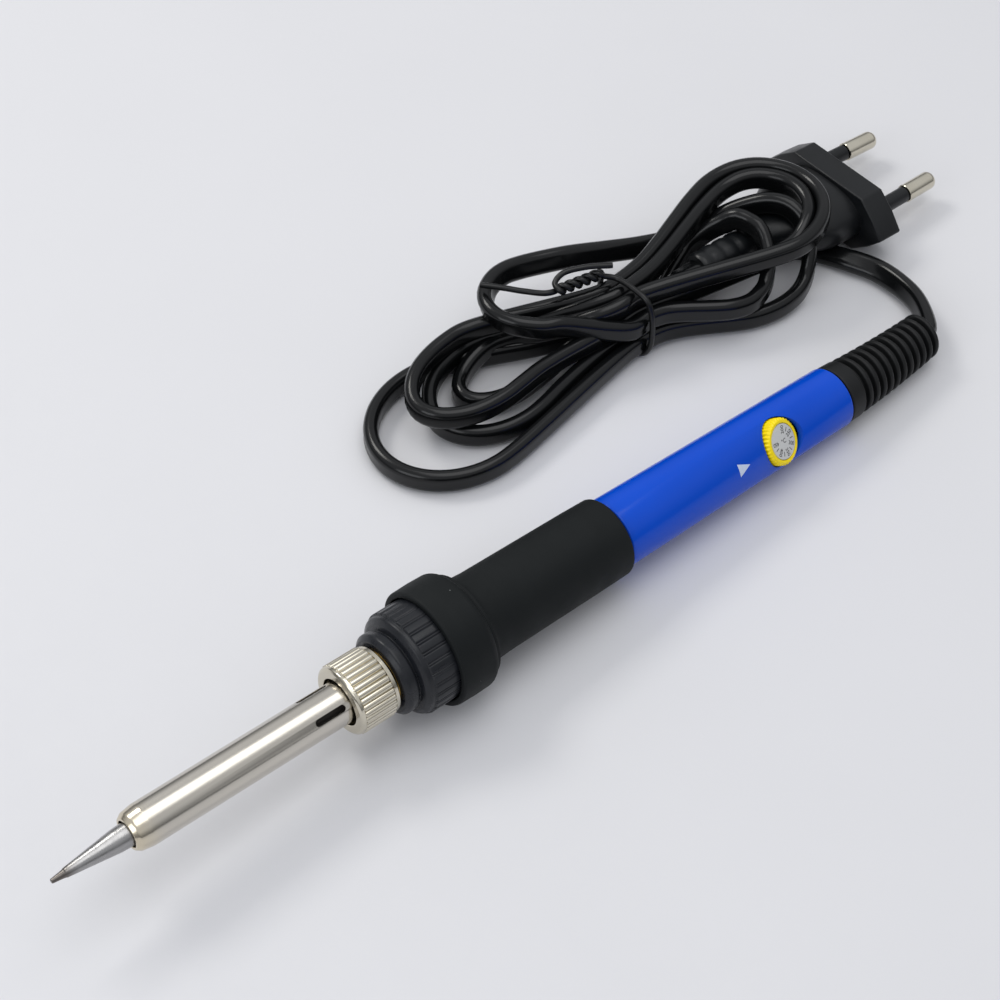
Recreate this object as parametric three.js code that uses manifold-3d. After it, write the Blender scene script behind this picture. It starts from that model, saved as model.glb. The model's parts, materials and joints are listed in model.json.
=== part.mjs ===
// Mains soldering iron with a temperature knob, lying at rest beside its bundled lead.
// Units are millimetres, +Z is up, and the iron runs along X from its tip to its lead.
import * as THREE from 'three';
import * as BufferGeometryUtils from 'three/addons/utils/BufferGeometryUtils.js';
import Module from 'manifold-3d';

const manifold = await Module();
manifold.setup();

// ---------------------------------------------------------------- clearances
const touchGap = 0.3; // between pieces that bear on each other
const turnGap = 0.45; // round a piece that turns
const seatGap = 0.35; // round a piece that slides in a bore
const sliver = 0.01; // finest detail kept after a cut or a join

// ---------------------------------------------------------------- stations along the axis
const tipLength = 42;
const noseStart = 14;
const nutStart = 59.4;
const nutLength = 8.5;
const capGap = 0.6; // nut to front cap
const capBeadLength = 3;
const capShoulderLength = 1.7;
const capRingLength = 12.7;
const spigotLength = 11;
const gripLength = 44.4;
const collarLength = 8;
const collarPastRing = 0.5; // part of the collar's length that is past the cap's ring
const collarBlend = 3.9;
const handleEnd = 183;
const knobSetback = 20.6; // knob axis before the handle's end
const reliefNeck = 4;
const reliefLength = 26.6;

// ---------------------------------------------------------------- radii
const tipEndRadius = 0.55;
const tipMouthRadius = 2.2;
const barrelRadius = 4.05;
const barrelWall = 0.4;
const shankGap = 0.4; // tip's shank to the barrel's bore
const tipShankRadius = barrelRadius - barrelWall - shankGap;
const barrelFlangeHeight = 1.35;
const barrelFlangeThickness = 0.8;
const heaterRadius = 1.9;
const nutRadius = 6.95;
const nutLip = 2.4;
const fluteDepth = 0.35;
const ferruleWall = 1;
const ferruleFlangeHeight = 1.5;
const ferruleFlangeThickness = 1.5;
const ferruleReach = 3.4; // ferrule behind its flange
const capBeadRadius = 8.1;
const capShoulderRadius = 9.6;
const capRingRadius = 10.1;
const capGrooveDepth = 0.22;
const capBoreRadius = 4.7;
const collarRadius = 11.7;
const collarWall = 1.3;
const gripFrontRadius = 8.3;
const gripRearRadius = 8.05;
const handleFrontRadius = 7.2;
const handleRearRadius = 6.5;
const handleBoreRadius = 5.35;
const reliefNeckRadius = 6.25;
const reliefRibRadius = 5.95;
const reliefEndRadius = 4.8;
const reliefRibDepth = 1.1;

// ---------------------------------------------------------------- counts
const roundSides = 40;
const smallSides = 20;
const fluteCount = 32;
const capGrooveCount = 30;
const knobToothCount = 30;
const slotCount = 4;
const reliefRibCount = 11;

// ---------------------------------------------------------------- temperature control
const knobLean = THREE.MathUtils.degToRad(12); // knob face leans back, towards the lead
const knobClock = THREE.MathUtils.degToRad(54); // knob direction, turned from straight up
const knobRadius = 4.5;
const knobToothDepth = 0.22;
const knobBottom = 3.7;
const knobTop = 6.7;
const dialRadius = 3.55;
const dialThickness = 0.6;
const shaftRadius = 1.2;
const knobCrown = 1; // knob above its shaft
const potInset = 2.15; // potentiometer's side to the handle's bore, at its middle
const potSide = 2 * (handleBoreRadius - potInset);
const potHeight = 2.2;
const potBottom = 0.4;
const boardSetback = 4.5; // board behind the grip
const boardOverrun = 7; // board past the knob axis
const boardInset = 1.05; // board's edge to the handle's bore, at its middle
const boardWidth = 2 * (handleBoreRadius - boardInset);
const boardThickness = 1;
const triacInset = 1.25; // triac's top to the handle's bore, at its middle
const capacitorInset = 1.45;
const boardTop = -0.6;

// ---------------------------------------------------------------- barrel vents
const ventStart = 52;
const ventLength = 6.4;
const ventWidth = 1.4;
const ventClock = THREE.MathUtils.degToRad(41);

// ---------------------------------------------------------------- lead and plug
const cordWidth = 5;
const cordThickness = 3.1;
const plugPlace = new THREE.Vector2(124.2, 41.7);
const plugTilt = THREE.MathUtils.degToRad(4.5);
const plugWidth = 34.6;
const plugHeight = 13.6;
const plugTopWidth = 20;
const plugBlockDepth = 6.4;
const plugTailLength = 44;
const plugTailRadius = 3.4;
const pinRadius = 2;
const pinLength = 19;
const pinSleeveRadius = 1.75;
const pinSleeveLength = 10;
const pinCoreRadius = 1.1;
const pinRoot = 6;
const sleeveSeat = 1.6; // how deep a pin's sleeve starts inside the plug
const pinSpacing = 18.6;
const pinLean = THREE.MathUtils.degToRad(1.6);
const hankHeight = 15;
const hankOverPlug = 20;
const tieRadius = 0.6;
const waistWidth = 12.6;
const tiePlace = new THREE.Vector3(61, 42.6, hankHeight);

// The tie's twisted knot and its two loose ends, from the middle of the waist's top.
const knotRoute = [
  [-2.4, 4.6, 2.3],
  [-7, 5.9, 2.7],
  [-12.5, 6.9, 3],
];
const longEndRoute = [
  [-12, 6.8, 3],
  [-16, 10, 2.8],
  [-23.4, 18, 3],
];
const shortEndRoute = [
  [-11.6, 6.7, 3],
  [-8, 9.4, 3.6],
  [-0.6, 5.2, 4],
];

// The hank's lobes seen from above, each as its middle and radius.
const leftLobe = { x: 19, y: 44, r: 19.5 };
const rightLobe = { x: 95, y: 41.4, r: 16 };
const lobeOverPlug = { x: 98, y: 41, r: 13 };
const lobeEase = 14; // how far the outline's curves reach before they turn

// The free stretch from the strain relief to the bundle, after its start at the relief.
const cordRoute = [
  [110.6, 4.4, 4.4],
  [113.9, 10.4, 3.6],
  [115.2, 17, 2.9],
  [114.9, 22.6, 2.6],
  [113.1, 27.5, 2.5],
];

// ---------------------------------------------------------------- materials
const finishes = {
  steel: { color: 0xb9b6ae, roughness: 0.3, metalness: 1 },
  plating: { color: 0x8d8a84, roughness: 0.35, metalness: 1 },
  brass: { color: 0xc4a65a, roughness: 0.35, metalness: 1 },
  nickel: { color: 0xc9c3b2, roughness: 0.28, metalness: 1 },
  ceramic: { color: 0xe8e4da, roughness: 0.6, metalness: 0 },
  phenolic: { color: 0x2a2a2e, roughness: 0.45, metalness: 0 },
  silicone: { color: 0x1b1d1f, roughness: 0.8, metalness: 0 },
  bluePlastic: { color: 0x0a45c8, roughness: 0.25, metalness: 0 },
  yellowPlastic: { color: 0xf4d312, roughness: 0.4, metalness: 0 },
  dialFoil: { color: 0xc9c9c9, roughness: 0.5, metalness: 0 },
  laminate: { color: 0xa8905a, roughness: 0.6, metalness: 0 },
  component: { color: 0x202226, roughness: 0.5, metalness: 0 },
  film: { color: 0x8a2c1c, roughness: 0.45, metalness: 0 },
  resistor: { color: 0xc9ad7c, roughness: 0.55, metalness: 0 },
  wire: { color: 0xd8d8d0, roughness: 0.6, metalness: 0 },
  rubber: { color: 0x1a1b1c, roughness: 0.65, metalness: 0 },
  cordJacket: { color: 0x0d0e0f, roughness: 0.35, metalness: 0 },
};

/** Makes one named mesh with its own material. */
function piece(name, geometry, finish) {
  const material = new THREE.MeshStandardMaterial(finishes[finish]);
  const mesh = new THREE.Mesh(geometry, material);
  mesh.name = name;
  return mesh;
}

// ---------------------------------------------------------------- shape helpers
/** Turns a closed profile of [station, radius] points round the X axis. */
function turned(profile, sides = roundSides) {
  const points = profile.map(([station, radius]) => new THREE.Vector2(radius, station));
  const onAxis = points[0].x === 0 && points[points.length - 1].x === 0;
  if (!onAxis) points.push(points[0].clone());
  const geometry = new THREE.LatheGeometry(points, sides);
  geometry.rotateZ(-Math.PI / 2);
  return outward(welded(geometry));
}

/** Keeps positions only and merges the shared corners. */
function welded(geometry) {
  const bare = geometry.clone();
  bare.deleteAttribute('normal');
  bare.deleteAttribute('uv');
  return BufferGeometryUtils.mergeVertices(bare, 1e-5);
}

/** Signed volume of a closed geometry. */
function volumeOf(geometry) {
  const place = geometry.attributes.position;
  const index = geometry.index.array;
  const corners = [new THREE.Vector3(), new THREE.Vector3(), new THREE.Vector3()];
  let volume = 0;
  for (let face = 0; face < index.length; face += 3) {
    corners.forEach((corner, k) => corner.fromBufferAttribute(place, index[face + k]));
    volume += corners[0].dot(corners[1].clone().cross(corners[2])) / 6;
  }
  return volume;
}

/** Flips a geometry's faces if they point inwards. */
function outward(geometry) {
  if (volumeOf(geometry) >= 0) return geometry;
  const index = geometry.index.array;
  for (let face = 0; face < index.length; face += 3) {
    const first = index[face];
    index[face] = index[face + 1];
    index[face + 1] = first;
  }
  return geometry;
}

/** Moves every second column of a turned piece inwards, between two stations. */
function fluted(geometry, sides, depth, from, to, minimumRadius) {
  const place = geometry.attributes.position;
  for (let i = 0; i < place.count; i += 1) {
    const y = place.getY(i);
    const z = place.getZ(i);
    const radius = Math.hypot(y, z);
    const station = place.getX(i);
    const column = Math.round((Math.atan2(z, y) / (2 * Math.PI)) * sides);
    const inside = station > from && station < to && radius > minimumRadius;
    if (inside && Math.abs(column) % 2 === 1) {
      const share = (radius - depth) / radius;
      place.setY(i, y * share);
      place.setZ(i, z * share);
    }
  }
  return geometry;
}

/** A closed geometry as a solid for joining and cutting. */
function solid(geometry) {
  const bare = outward(welded(geometry));
  const mesh = new manifold.Mesh({
    numProp: 3,
    vertProperties: new Float32Array(bare.attributes.position.array),
    triVerts: new Uint32Array(bare.index.array),
  });
  return new manifold.Manifold(mesh);
}

/** A joined or cut solid back as a geometry, without its slivers. */
function geometryOf(body) {
  const mesh = body.simplify(sliver).getMesh();
  const geometry = new THREE.BufferGeometry();
  geometry.setAttribute('position', new THREE.BufferAttribute(mesh.vertProperties.slice(), 3));
  geometry.setIndex(new THREE.BufferAttribute(mesh.triVerts.slice(), 1));
  return geometry;
}

/** A round tube along a curve. */
function tubeAlong(curve, radius, steps, sides = 8) {
  const section = new THREE.Shape();
  for (let k = 0; k < sides; k += 1) {
    const angle = ((k + 0.5) / sides) * 2 * Math.PI;
    const corner = [radius * Math.cos(angle), radius * Math.sin(angle)];
    if (k === 0) section.moveTo(...corner);
    else section.lineTo(...corner);
  }
  return new THREE.ExtrudeGeometry(section, { steps, extrudePath: curve });
}

/** A smooth curve through points given as [x, y, z]. */
function curveThrough(points, closed = false) {
  const places = points.map(([x, y, z]) => new THREE.Vector3(x, y, z));
  return new THREE.CatmullRomCurve3(places, closed, 'centripetal');
}

/** A cylinder along X that starts at a station. */
function rodAlongX(radius, length, start, sides = smallSides) {
  const geometry = new THREE.CylinderGeometry(radius, radius, length, sides);
  geometry.rotateZ(-Math.PI / 2);
  geometry.translate(start + length / 2, 0, 0);
  return geometry;
}

/** A block between two corners. */
function block(low, high) {
  const size = high.map((value, k) => value - low[k]);
  const geometry = new THREE.BoxGeometry(...size);
  geometry.translate(...high.map((value, k) => (value + low[k]) / 2));
  return geometry;
}

// ---------------------------------------------------------------- working end
const nutEnd = nutStart + nutLength;
const nutCavityStart = nutStart + nutLip;
const flangeStart = nutCavityStart + touchGap;
const flangeEnd = flangeStart + barrelFlangeThickness;
const flangeRadius = barrelRadius + barrelFlangeHeight;
const threadRadius = flangeRadius;
const nutBoreRadius = threadRadius + seatGap;
const ferruleStart = flangeEnd + touchGap;
const capStart = nutEnd + capGap;
const capRingEnd = capStart + capBeadLength + capShoulderLength + capRingLength;
const ferruleFlangeStart = capStart + capBeadLength + capShoulderLength;
const ferruleFlangeEnd = ferruleFlangeStart + ferruleFlangeThickness;
const ferruleBoreRadius = threadRadius - ferruleWall;
const barrelBoreRadius = barrelRadius - barrelWall;
const tipBoreRadius = heaterRadius + touchGap;
const tipBoreStart = tipLength / 2;

/** Slim conical tip with a hollow shank that slides on the heater. */
function tipGeometry() {
  const shoulder = noseStart + 1.2;
  return turned([
    [0, 0],
    [0, tipEndRadius * 0.7],
    [0.35, tipEndRadius],
    [2.4, tipEndRadius + 0.15],
    [2.6, tipEndRadius + 0.3],
    [7.2, 1.42],
    [noseStart - 0.6, tipMouthRadius],
    [shoulder, tipMouthRadius + 0.05],
    [shoulder + 2.2, tipShankRadius],
    [tipLength, tipShankRadius],
    [tipLength, tipBoreRadius],
    [tipBoreStart, tipBoreRadius],
    [tipBoreStart - 1.4, 0],
  ], smallSides);
}

/** Thin steel tube with a rolled nose, vents and a flared rear flange. */
function barrelGeometry() {
  const mouthRadius = tipMouthRadius + turnGap;
  const noseDepth = 2.6;
  const noseHeight = barrelRadius - mouthRadius;
  const arc = (share) => [
    noseStart + noseDepth * (1 - Math.cos((share * Math.PI) / 2)),
    mouthRadius + noseHeight * Math.sin((share * Math.PI) / 2),
  ];
  const inner = (share) => [
    noseStart + barrelWall + noseDepth * (1 - Math.cos((share * Math.PI) / 2)),
    mouthRadius + (barrelBoreRadius - mouthRadius) * Math.sin((share * Math.PI) / 2),
  ];
  const shell = turned([
    ...[0, 0.25, 0.5, 0.75, 1].map(arc),
    [flangeStart, barrelRadius],
    [flangeStart, flangeRadius],
    [flangeEnd, flangeRadius],
    [flangeEnd, barrelBoreRadius],
    ...[1, 0.66, 0.33, 0].map(inner),
  ]);
  let body = solid(shell);
  for (let k = 0; k < slotCount; k += 1) {
    body = body.subtract(solid(ventCutter(ventClock + (k * 2 * Math.PI) / slotCount)));
  }
  return geometryOf(body);
}

/** Round-ended cutter for one vent, at an angle from straight sideways. */
function ventCutter(angle) {
  const outline = new THREE.Shape();
  const half = ventWidth / 2;
  outline.absarc(ventStart + half, 0, half, Math.PI / 2, (3 * Math.PI) / 2, false);
  outline.absarc(ventStart + ventLength - half, 0, half, -Math.PI / 2, Math.PI / 2, false);
  const settings = { depth: barrelRadius, bevelEnabled: false, curveSegments: 4 };
  const cutter = new THREE.ExtrudeGeometry(outline, settings);
  cutter.translate(0, 0, barrelRadius / 2);
  cutter.rotateX(Math.PI / 2 - angle);
  return cutter;
}

/** Fluted ring nut that holds the barrel's flange on the ferrule. */
function nutGeometry() {
  const lipBore = barrelRadius + touchGap + seatGap;
  const chamfer = 0.5;
  const sides = fluteCount * 2;
  const shell = turned([
    [nutStart, lipBore],
    [nutStart, nutRadius - chamfer],
    [nutStart + chamfer, nutRadius - fluteDepth / 2],
    [nutStart + 2 * chamfer, nutRadius],
    [nutEnd - 2 * chamfer, nutRadius],
    [nutEnd - chamfer, nutRadius - fluteDepth],
    [nutEnd, nutRadius - fluteDepth],
    [nutEnd, nutBoreRadius],
    [nutCavityStart, nutBoreRadius],
    [nutCavityStart, lipBore],
  ], sides);
  const from = nutStart + 1.5 * chamfer;
  const to = nutEnd - 1.5 * chamfer;
  return fluted(shell, sides, fluteDepth, from, to, nutBoreRadius + touchGap);
}

/** Threaded ferrule whose flange is moulded into the front cap. */
function ferruleGeometry() {
  const flange = threadRadius + ferruleFlangeHeight;
  return turned([
    [ferruleStart, ferruleBoreRadius],
    [ferruleStart, threadRadius],
    [ferruleFlangeStart, threadRadius],
    [ferruleFlangeStart, flange],
    [ferruleFlangeEnd, flange],
    [ferruleFlangeEnd, threadRadius],
    [ferruleFlangeEnd + ferruleReach, threadRadius],
    [ferruleFlangeEnd + ferruleReach, ferruleBoreRadius],
  ]);
}

const heaterStart = tipBoreStart + touchGap;
const heaterEnd = ferruleFlangeEnd;
const holderRadius = ferruleBoreRadius - touchGap;

/** Ceramic ring that centres the heater in the ferrule. */
function holderGeometry() {
  const length = 4;
  const bore = heaterRadius + touchGap;
  const start = ferruleStart;
  return turned([
    [start, bore],
    [start, holderRadius],
    [start + length, holderRadius],
    [start + length, bore],
  ], smallSides);
}

/** Black cap with two rounded steps, a grooved ring and a threaded spigot. */
function capGeometry() {
  const beadEnd = capStart + capBeadLength;
  const ringStart = beadEnd + capShoulderLength;
  const ringEnd = ringStart + capRingLength;
  const spigotRadius = handleBoreRadius - touchGap;
  const recess = threadRadius + ferruleFlangeHeight + touchGap;
  const bore = threadRadius + touchGap;
  const ferruleEnd = ferruleFlangeEnd + ferruleReach + touchGap;
  const sides = capGrooveCount * 2;
  const rounding = 0.8;
  const shell = turned([
    [capStart, bore],
    [capStart, capBeadRadius - 2 * rounding],
    [capStart + rounding / 2, capBeadRadius - rounding / 2],
    [capStart + 2 * rounding, capBeadRadius],
    [beadEnd, capBeadRadius - rounding],
    [beadEnd, capShoulderRadius - rounding],
    [beadEnd + rounding, capShoulderRadius],
    [ringStart, capShoulderRadius],
    [ringStart, capRingRadius],
    [ringEnd, capRingRadius],
    [ringEnd, spigotRadius],
    [ringEnd + spigotLength, spigotRadius],
    [ringEnd + spigotLength, capBoreRadius - 1],
    [ferruleEnd, capBoreRadius - 1],
    [ferruleEnd, bore],
    [ferruleFlangeEnd + touchGap, bore],
    [ferruleFlangeEnd + touchGap, recess],
    [ferruleFlangeStart - touchGap, recess],
    [ferruleFlangeStart - touchGap, bore],
  ], sides);
  const minimum = recess + 1;
  const from = ringStart - 0.1;
  return fluted(shell, sides, capGrooveDepth, from, ringEnd - 1, minimum);
}

// ---------------------------------------------------------------- grip and handle
const gripStart = capRingEnd - collarLength + collarPastRing;
const gripEnd = gripStart + gripLength;
const handleStart = capRingEnd + touchGap;
const knobStation = handleEnd - knobSetback;
const seatRadius = handleFrontRadius - 0.6;
const gripBoreRadius = seatRadius + touchGap;
const shoulderStart = gripEnd + touchGap;

/** Soft sleeve with a wide collar that hides the rear of the cap's ring. */
function gripGeometry() {
  const collarEnd = gripStart + collarLength;
  const blendEnd = collarEnd + collarBlend;
  const collarBore = collarRadius - collarWall;
  const pocketEnd = handleStart + 1.6;
  const rounding = 1.1;
  const lipRounding = 0.6;
  const blend = (share) => [
    collarEnd + collarBlend * share,
    gripFrontRadius + (collarRadius - gripFrontRadius - 0.4) * (1 - Math.sin((share * Math.PI) / 2)),
  ];
  return turned([
    [gripStart, collarBore],
    [gripStart, collarRadius - lipRounding],
    [gripStart + 0.3 * lipRounding, collarRadius - 0.3 * lipRounding],
    [gripStart + lipRounding, collarRadius],
    [collarEnd - rounding, collarRadius],
    ...[0.05, 0.25, 0.5, 0.75].map(blend),
    [blendEnd, gripFrontRadius],
    [gripEnd - 2 * rounding, gripRearRadius],
    [gripEnd - 0.6 * rounding, gripRearRadius - 0.2 * rounding],
    [gripEnd, gripRearRadius - 0.6],
    [gripEnd, gripBoreRadius],
    [pocketEnd, gripBoreRadius],
    [pocketEnd, collarBore],
  ]);
}

/** Blue shell with a round pocket that the temperature knob sits in. */
function handleGeometry() {
  const rounding = 0.5;
  const shell = turned([
    [handleStart, handleBoreRadius],
    [handleStart, seatRadius],
    [shoulderStart, seatRadius],
    [shoulderStart, handleFrontRadius],
    [handleEnd - rounding, handleRearRadius],
    [handleEnd, handleRearRadius - rounding],
    [handleEnd, handleBoreRadius],
  ], 48);
  const pocketRadius = knobRadius + turnGap;
  const pocketFloor = knobBottom - turnGap;
  const cutter = new THREE.CylinderGeometry(pocketRadius, pocketRadius, 10, 48);
  cutter.rotateX(Math.PI / 2);
  cutter.translate(0, 0, pocketFloor + 5);
  cutter.rotateY(knobLean);
  cutter.translate(knobStation, 0, 0);
  return geometryOf(solid(shell).subtract(solid(cutter)));
}

// ---------------------------------------------------------------- strain relief
const reliefStart = handleEnd + touchGap;
const reliefEnd = reliefStart + reliefLength;
const reliefBore = cordWidth / 2 + touchGap + 0.1;

/** Tapered rubber sleeve with ribs and a plug that fits the handle's bore. */
function reliefGeometry() {
  const ribsStart = reliefStart + reliefNeck;
  const pitch = (reliefEnd - ribsStart) / reliefRibCount;
  const spigotStart = handleEnd - 6;
  const spigotRadius = handleBoreRadius - touchGap;
  const profile = [
    [spigotStart, reliefBore],
    [spigotStart, spigotRadius],
    [reliefStart, spigotRadius],
    [reliefStart, reliefNeckRadius],
    [ribsStart - 0.4, reliefNeckRadius],
  ];
  for (let k = 0; k < reliefRibCount; k += 1) {
    const station = ribsStart + k * pitch;
    const radius = THREE.MathUtils.lerp(reliefRibRadius, reliefEndRadius, k / (reliefRibCount - 1));
    profile.push([station, radius - reliefRibDepth]);
    profile.push([station + 0.3 * pitch, radius - reliefRibDepth]);
    profile.push([station + 0.45 * pitch, radius]);
    profile.push([station + 0.9 * pitch, radius]);
  }
  profile.push([reliefEnd, reliefEndRadius - 0.8]);
  profile.push([reliefEnd, reliefBore]);
  return turned(profile, smallSides);
}

// ---------------------------------------------------------------- electronics
const boardStart = gripEnd + boardSetback;
const boardEnd = knobStation + boardOverrun;
const boardBottom = boardTop - boardThickness;
const onBoard = boardTop + touchGap;

/** Square potentiometer under the knob. */
function potGeometry() {
  const half = potSide / 2;
  return block([-half, -half, potBottom], [half, half, potBottom + potHeight]);
}

const shaftBottom = potBottom + potHeight + touchGap;
const shaftTop = knobTop - dialThickness - touchGap - knobCrown;

/** Yellow knob with a toothed rim, a dished top for its dial and a bore for the shaft. */
function knobGeometry() {
  const sides = knobToothCount * 2;
  const rounding = 0.5;
  const recess = dialRadius + touchGap;
  const floor = knobTop - dialThickness - touchGap;
  const bore = shaftRadius + touchGap;
  const shell = turned([
    [knobBottom, bore],
    [knobBottom, knobRadius - rounding],
    [knobBottom + rounding, knobRadius],
    [knobTop - rounding, knobRadius],
    [knobTop, knobRadius - rounding],
    [knobTop, recess],
    [floor, recess],
    [floor, 0],
    [shaftTop + touchGap, 0],
    [shaftTop + touchGap, bore],
    [knobBottom, bore],
  ], sides);
  return fluted(shell, sides, knobToothDepth, knobBottom + 0.1, knobTop - 0.1, dialRadius + 0.9);
}

/** Turns a piece that was made along X so that it stands along Z. */
function upright(geometry) {
  geometry.rotateY(-Math.PI / 2);
  return geometry;
}

/** The regulator's board, its components and the leads on it. */
function electronics() {
  const group = new THREE.Group();
  const half = boardWidth / 2;
  const boardBlock = block([boardStart, -half, boardBottom], [boardEnd, half, boardTop]);
  group.add(piece('circuit_board', boardBlock, 'laminate'));
  const triacSize = [3.6, 4.4, handleBoreRadius - triacInset - onBoard];
  const triacStart = boardStart + 13;
  const triac = block(
    [triacStart, -triacSize[1] / 2, onBoard],
    [triacStart + triacSize[0], triacSize[1] / 2, onBoard + triacSize[2]],
  );
  group.add(piece('triac', triac, 'component'));
  const capacitorStart = triacStart + triacSize[0] + 4;
  const capacitor = block([capacitorStart, -1.6, onBoard], [capacitorStart + 7.2, 1.6, handleBoreRadius - capacitorInset]);
  group.add(piece('film_capacitor', capacitor, 'film'));
  const resistorNames = ['resistor_left', 'resistor_right'];
  resistorNames.forEach((name, k) => {
    const resistor = piece(name, rodAlongX(1, 6, boardStart + 4, 12), 'resistor');
    resistor.position.set(0, k === 0 ? 2.4 : -2.4, onBoard + 1);
    group.add(resistor);
  });
  return group;
}

/** The two heater leads, from the heater's rear to the board. */
function heaterLeads() {
  const group = new THREE.Group();
  ['heater_lead_left', 'heater_lead_right'].forEach((name, k) => {
    const side = k === 0 ? 1 : -1;
    const start = heaterEnd + touchGap;
    const route = curveThrough([
      [start, 0.9 * side, 0],
      [start + 18, 1.4 * side, 0.4],
      [boardStart - 12, 1.4 * side, 0.2],
      [boardStart + 2, 1 * side, onBoard + 0.6],
    ]);
    group.add(piece(name, tubeAlong(route, 0.5, 14), 'wire'));
  });
  return group;
}

/** A flat lead section as an outline in the plane across it. */
function flatSection() {
  const half = cordThickness / 2;
  const reach = (cordWidth - cordThickness) / 2;
  const outline = new THREE.Shape();
  outline.absarc(reach, 0, half, -Math.PI / 2, Math.PI / 2, false);
  outline.absarc(-reach, 0, half, Math.PI / 2, (3 * Math.PI) / 2, false);
  return outline;
}

const clampStart = boardEnd + 2.4;
const clampLength = 3;

/** The end of the lead inside the handle and the relief, with its cores and its clamp. */
function leadInside() {
  const group = new THREE.Group();
  const start = boardEnd + touchGap + 0.2;
  const length = reliefEnd - touchGap - start;
  const settings = { depth: length, bevelEnabled: false, curveSegments: 5 };
  const stub = new THREE.ExtrudeGeometry(flatSection(), settings);
  stub.rotateY(Math.PI / 2);
  stub.rotateX(Math.PI / 2);
  stub.translate(start, 0, 0);
  group.add(piece('lead_inside_handle', stub, 'cordJacket'));
  ['mains_core_left', 'mains_core_right'].forEach((name, k) => {
    const side = k === 0 ? 1 : -1;
    const route = new THREE.LineCurve3(
      new THREE.Vector3(start - touchGap, 1.2 * side, 0.15),
      new THREE.Vector3(start - 3.1, 1.2 * side, 0.3),
    );
    group.add(piece(name, tubeAlong(route, 0.45, 2), 'wire'));
  });
  const clampBore = cordWidth / 2 + touchGap;
  const clamp = turned([
    [clampStart, clampBore],
    [clampStart, handleBoreRadius - seatGap],
    [clampStart + clampLength, handleBoreRadius - seatGap],
    [clampStart + clampLength, clampBore],
  ], smallSides);
  group.add(piece('cord_clamp', clamp, 'component'));
  return group;
}

// ---------------------------------------------------------------- plug
/** Half width and half height of the plug's rear body at a distance behind its face. */
function plugSectionAt(distance) {
  const share = THREE.MathUtils.smoothstep(distance, plugBlockDepth + 6, plugTailLength - 15);
  const taper = THREE.MathUtils.clamp((distance - plugBlockDepth) / plugTailLength, 0, 1);
  const wide = THREE.MathUtils.lerp(11.2, plugTailRadius + 0.4, share) - 0.5 * taper;
  const high = THREE.MathUtils.lerp(5.9, plugTailRadius, share) - 0.5 * taper;
  return [wide, high];
}

/** Moulded plug body: a wide six-cornered block and a rounded rear that tapers to a tail. */
function plugBodySolid(grow = 0) {
  const halfTop = plugTopWidth / 2;
  const halfWidth = plugWidth / 2 + grow;
  const halfHeight = plugHeight / 2 + grow;
  const kink = [halfWidth - 3.4, halfHeight * 0.55];
  const outline = new THREE.Shape();
  outline.moveTo(halfWidth, 0);
  outline.lineTo(...kink);
  outline.lineTo(halfTop, halfHeight);
  outline.lineTo(-halfTop, halfHeight);
  outline.lineTo(-kink[0], kink[1]);
  outline.lineTo(-halfWidth, 0);
  outline.lineTo(-kink[0], -kink[1]);
  outline.lineTo(-halfTop, -halfHeight);
  outline.lineTo(halfTop, -halfHeight);
  outline.lineTo(kink[0], -kink[1]);
  outline.closePath();
  const settings = { depth: plugBlockDepth + 2 * grow, bevelEnabled: false };
  const front = new THREE.ExtrudeGeometry(outline, settings);
  front.rotateX(Math.PI / 2);
  front.rotateZ(Math.PI / 2);
  front.translate(-plugBlockDepth - grow, 0, 0);
  const stations = 15;
  const profile = [[-plugTailLength - grow, 0]];
  for (let k = 0; k <= stations; k += 1) {
    const share = k / stations;
    profile.push([THREE.MathUtils.lerp(-plugTailLength - grow, -plugBlockDepth / 2, share), 1]);
  }
  profile.push([-plugBlockDepth / 2, 0]);
  const rear = turned(profile, 24);
  const place = rear.attributes.position;
  for (let i = 0; i < place.count; i += 1) {
    const [wide, high] = plugSectionAt(-place.getX(i));
    place.setY(i, place.getY(i) * (wide + grow));
    place.setZ(i, place.getZ(i) * (high + grow));
  }
  return solid(front).add(solid(rear));
}

/** Places one pin's geometry at its side of the plug's face. */
function atPin(geometry, side) {
  geometry.rotateZ(-side * pinLean);
  geometry.translate(0, (side * pinSpacing) / 2, 0);
  return geometry;
}

/** Round-ended contact pin with a thin core inside its sleeve and the plug. */
function pinGeometry() {
  const dome = (share) => [
    pinLength - pinRadius * (1 - Math.sin((share * Math.PI) / 2)),
    pinRadius * Math.cos((share * Math.PI) / 2),
  ];
  return turned([
    [-pinRoot, 0],
    [-pinRoot, pinCoreRadius],
    [pinSleeveLength, pinCoreRadius],
    [pinSleeveLength, pinRadius],
    ...[0, 0.25, 0.5, 0.75].map(dome),
    [pinLength, 0],
  ], smallSides);
}

/** Insulating sleeve on the rear half of a pin. */
function sleeveGeometry() {
  const bore = pinCoreRadius + touchGap;
  const end = pinSleeveLength - touchGap;
  const start = touchGap - sleeveSeat;
  return turned([
    [start, bore],
    [start, pinSleeveRadius],
    [end, pinSleeveRadius],
    [end, bore],
  ], smallSides);
}

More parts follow.
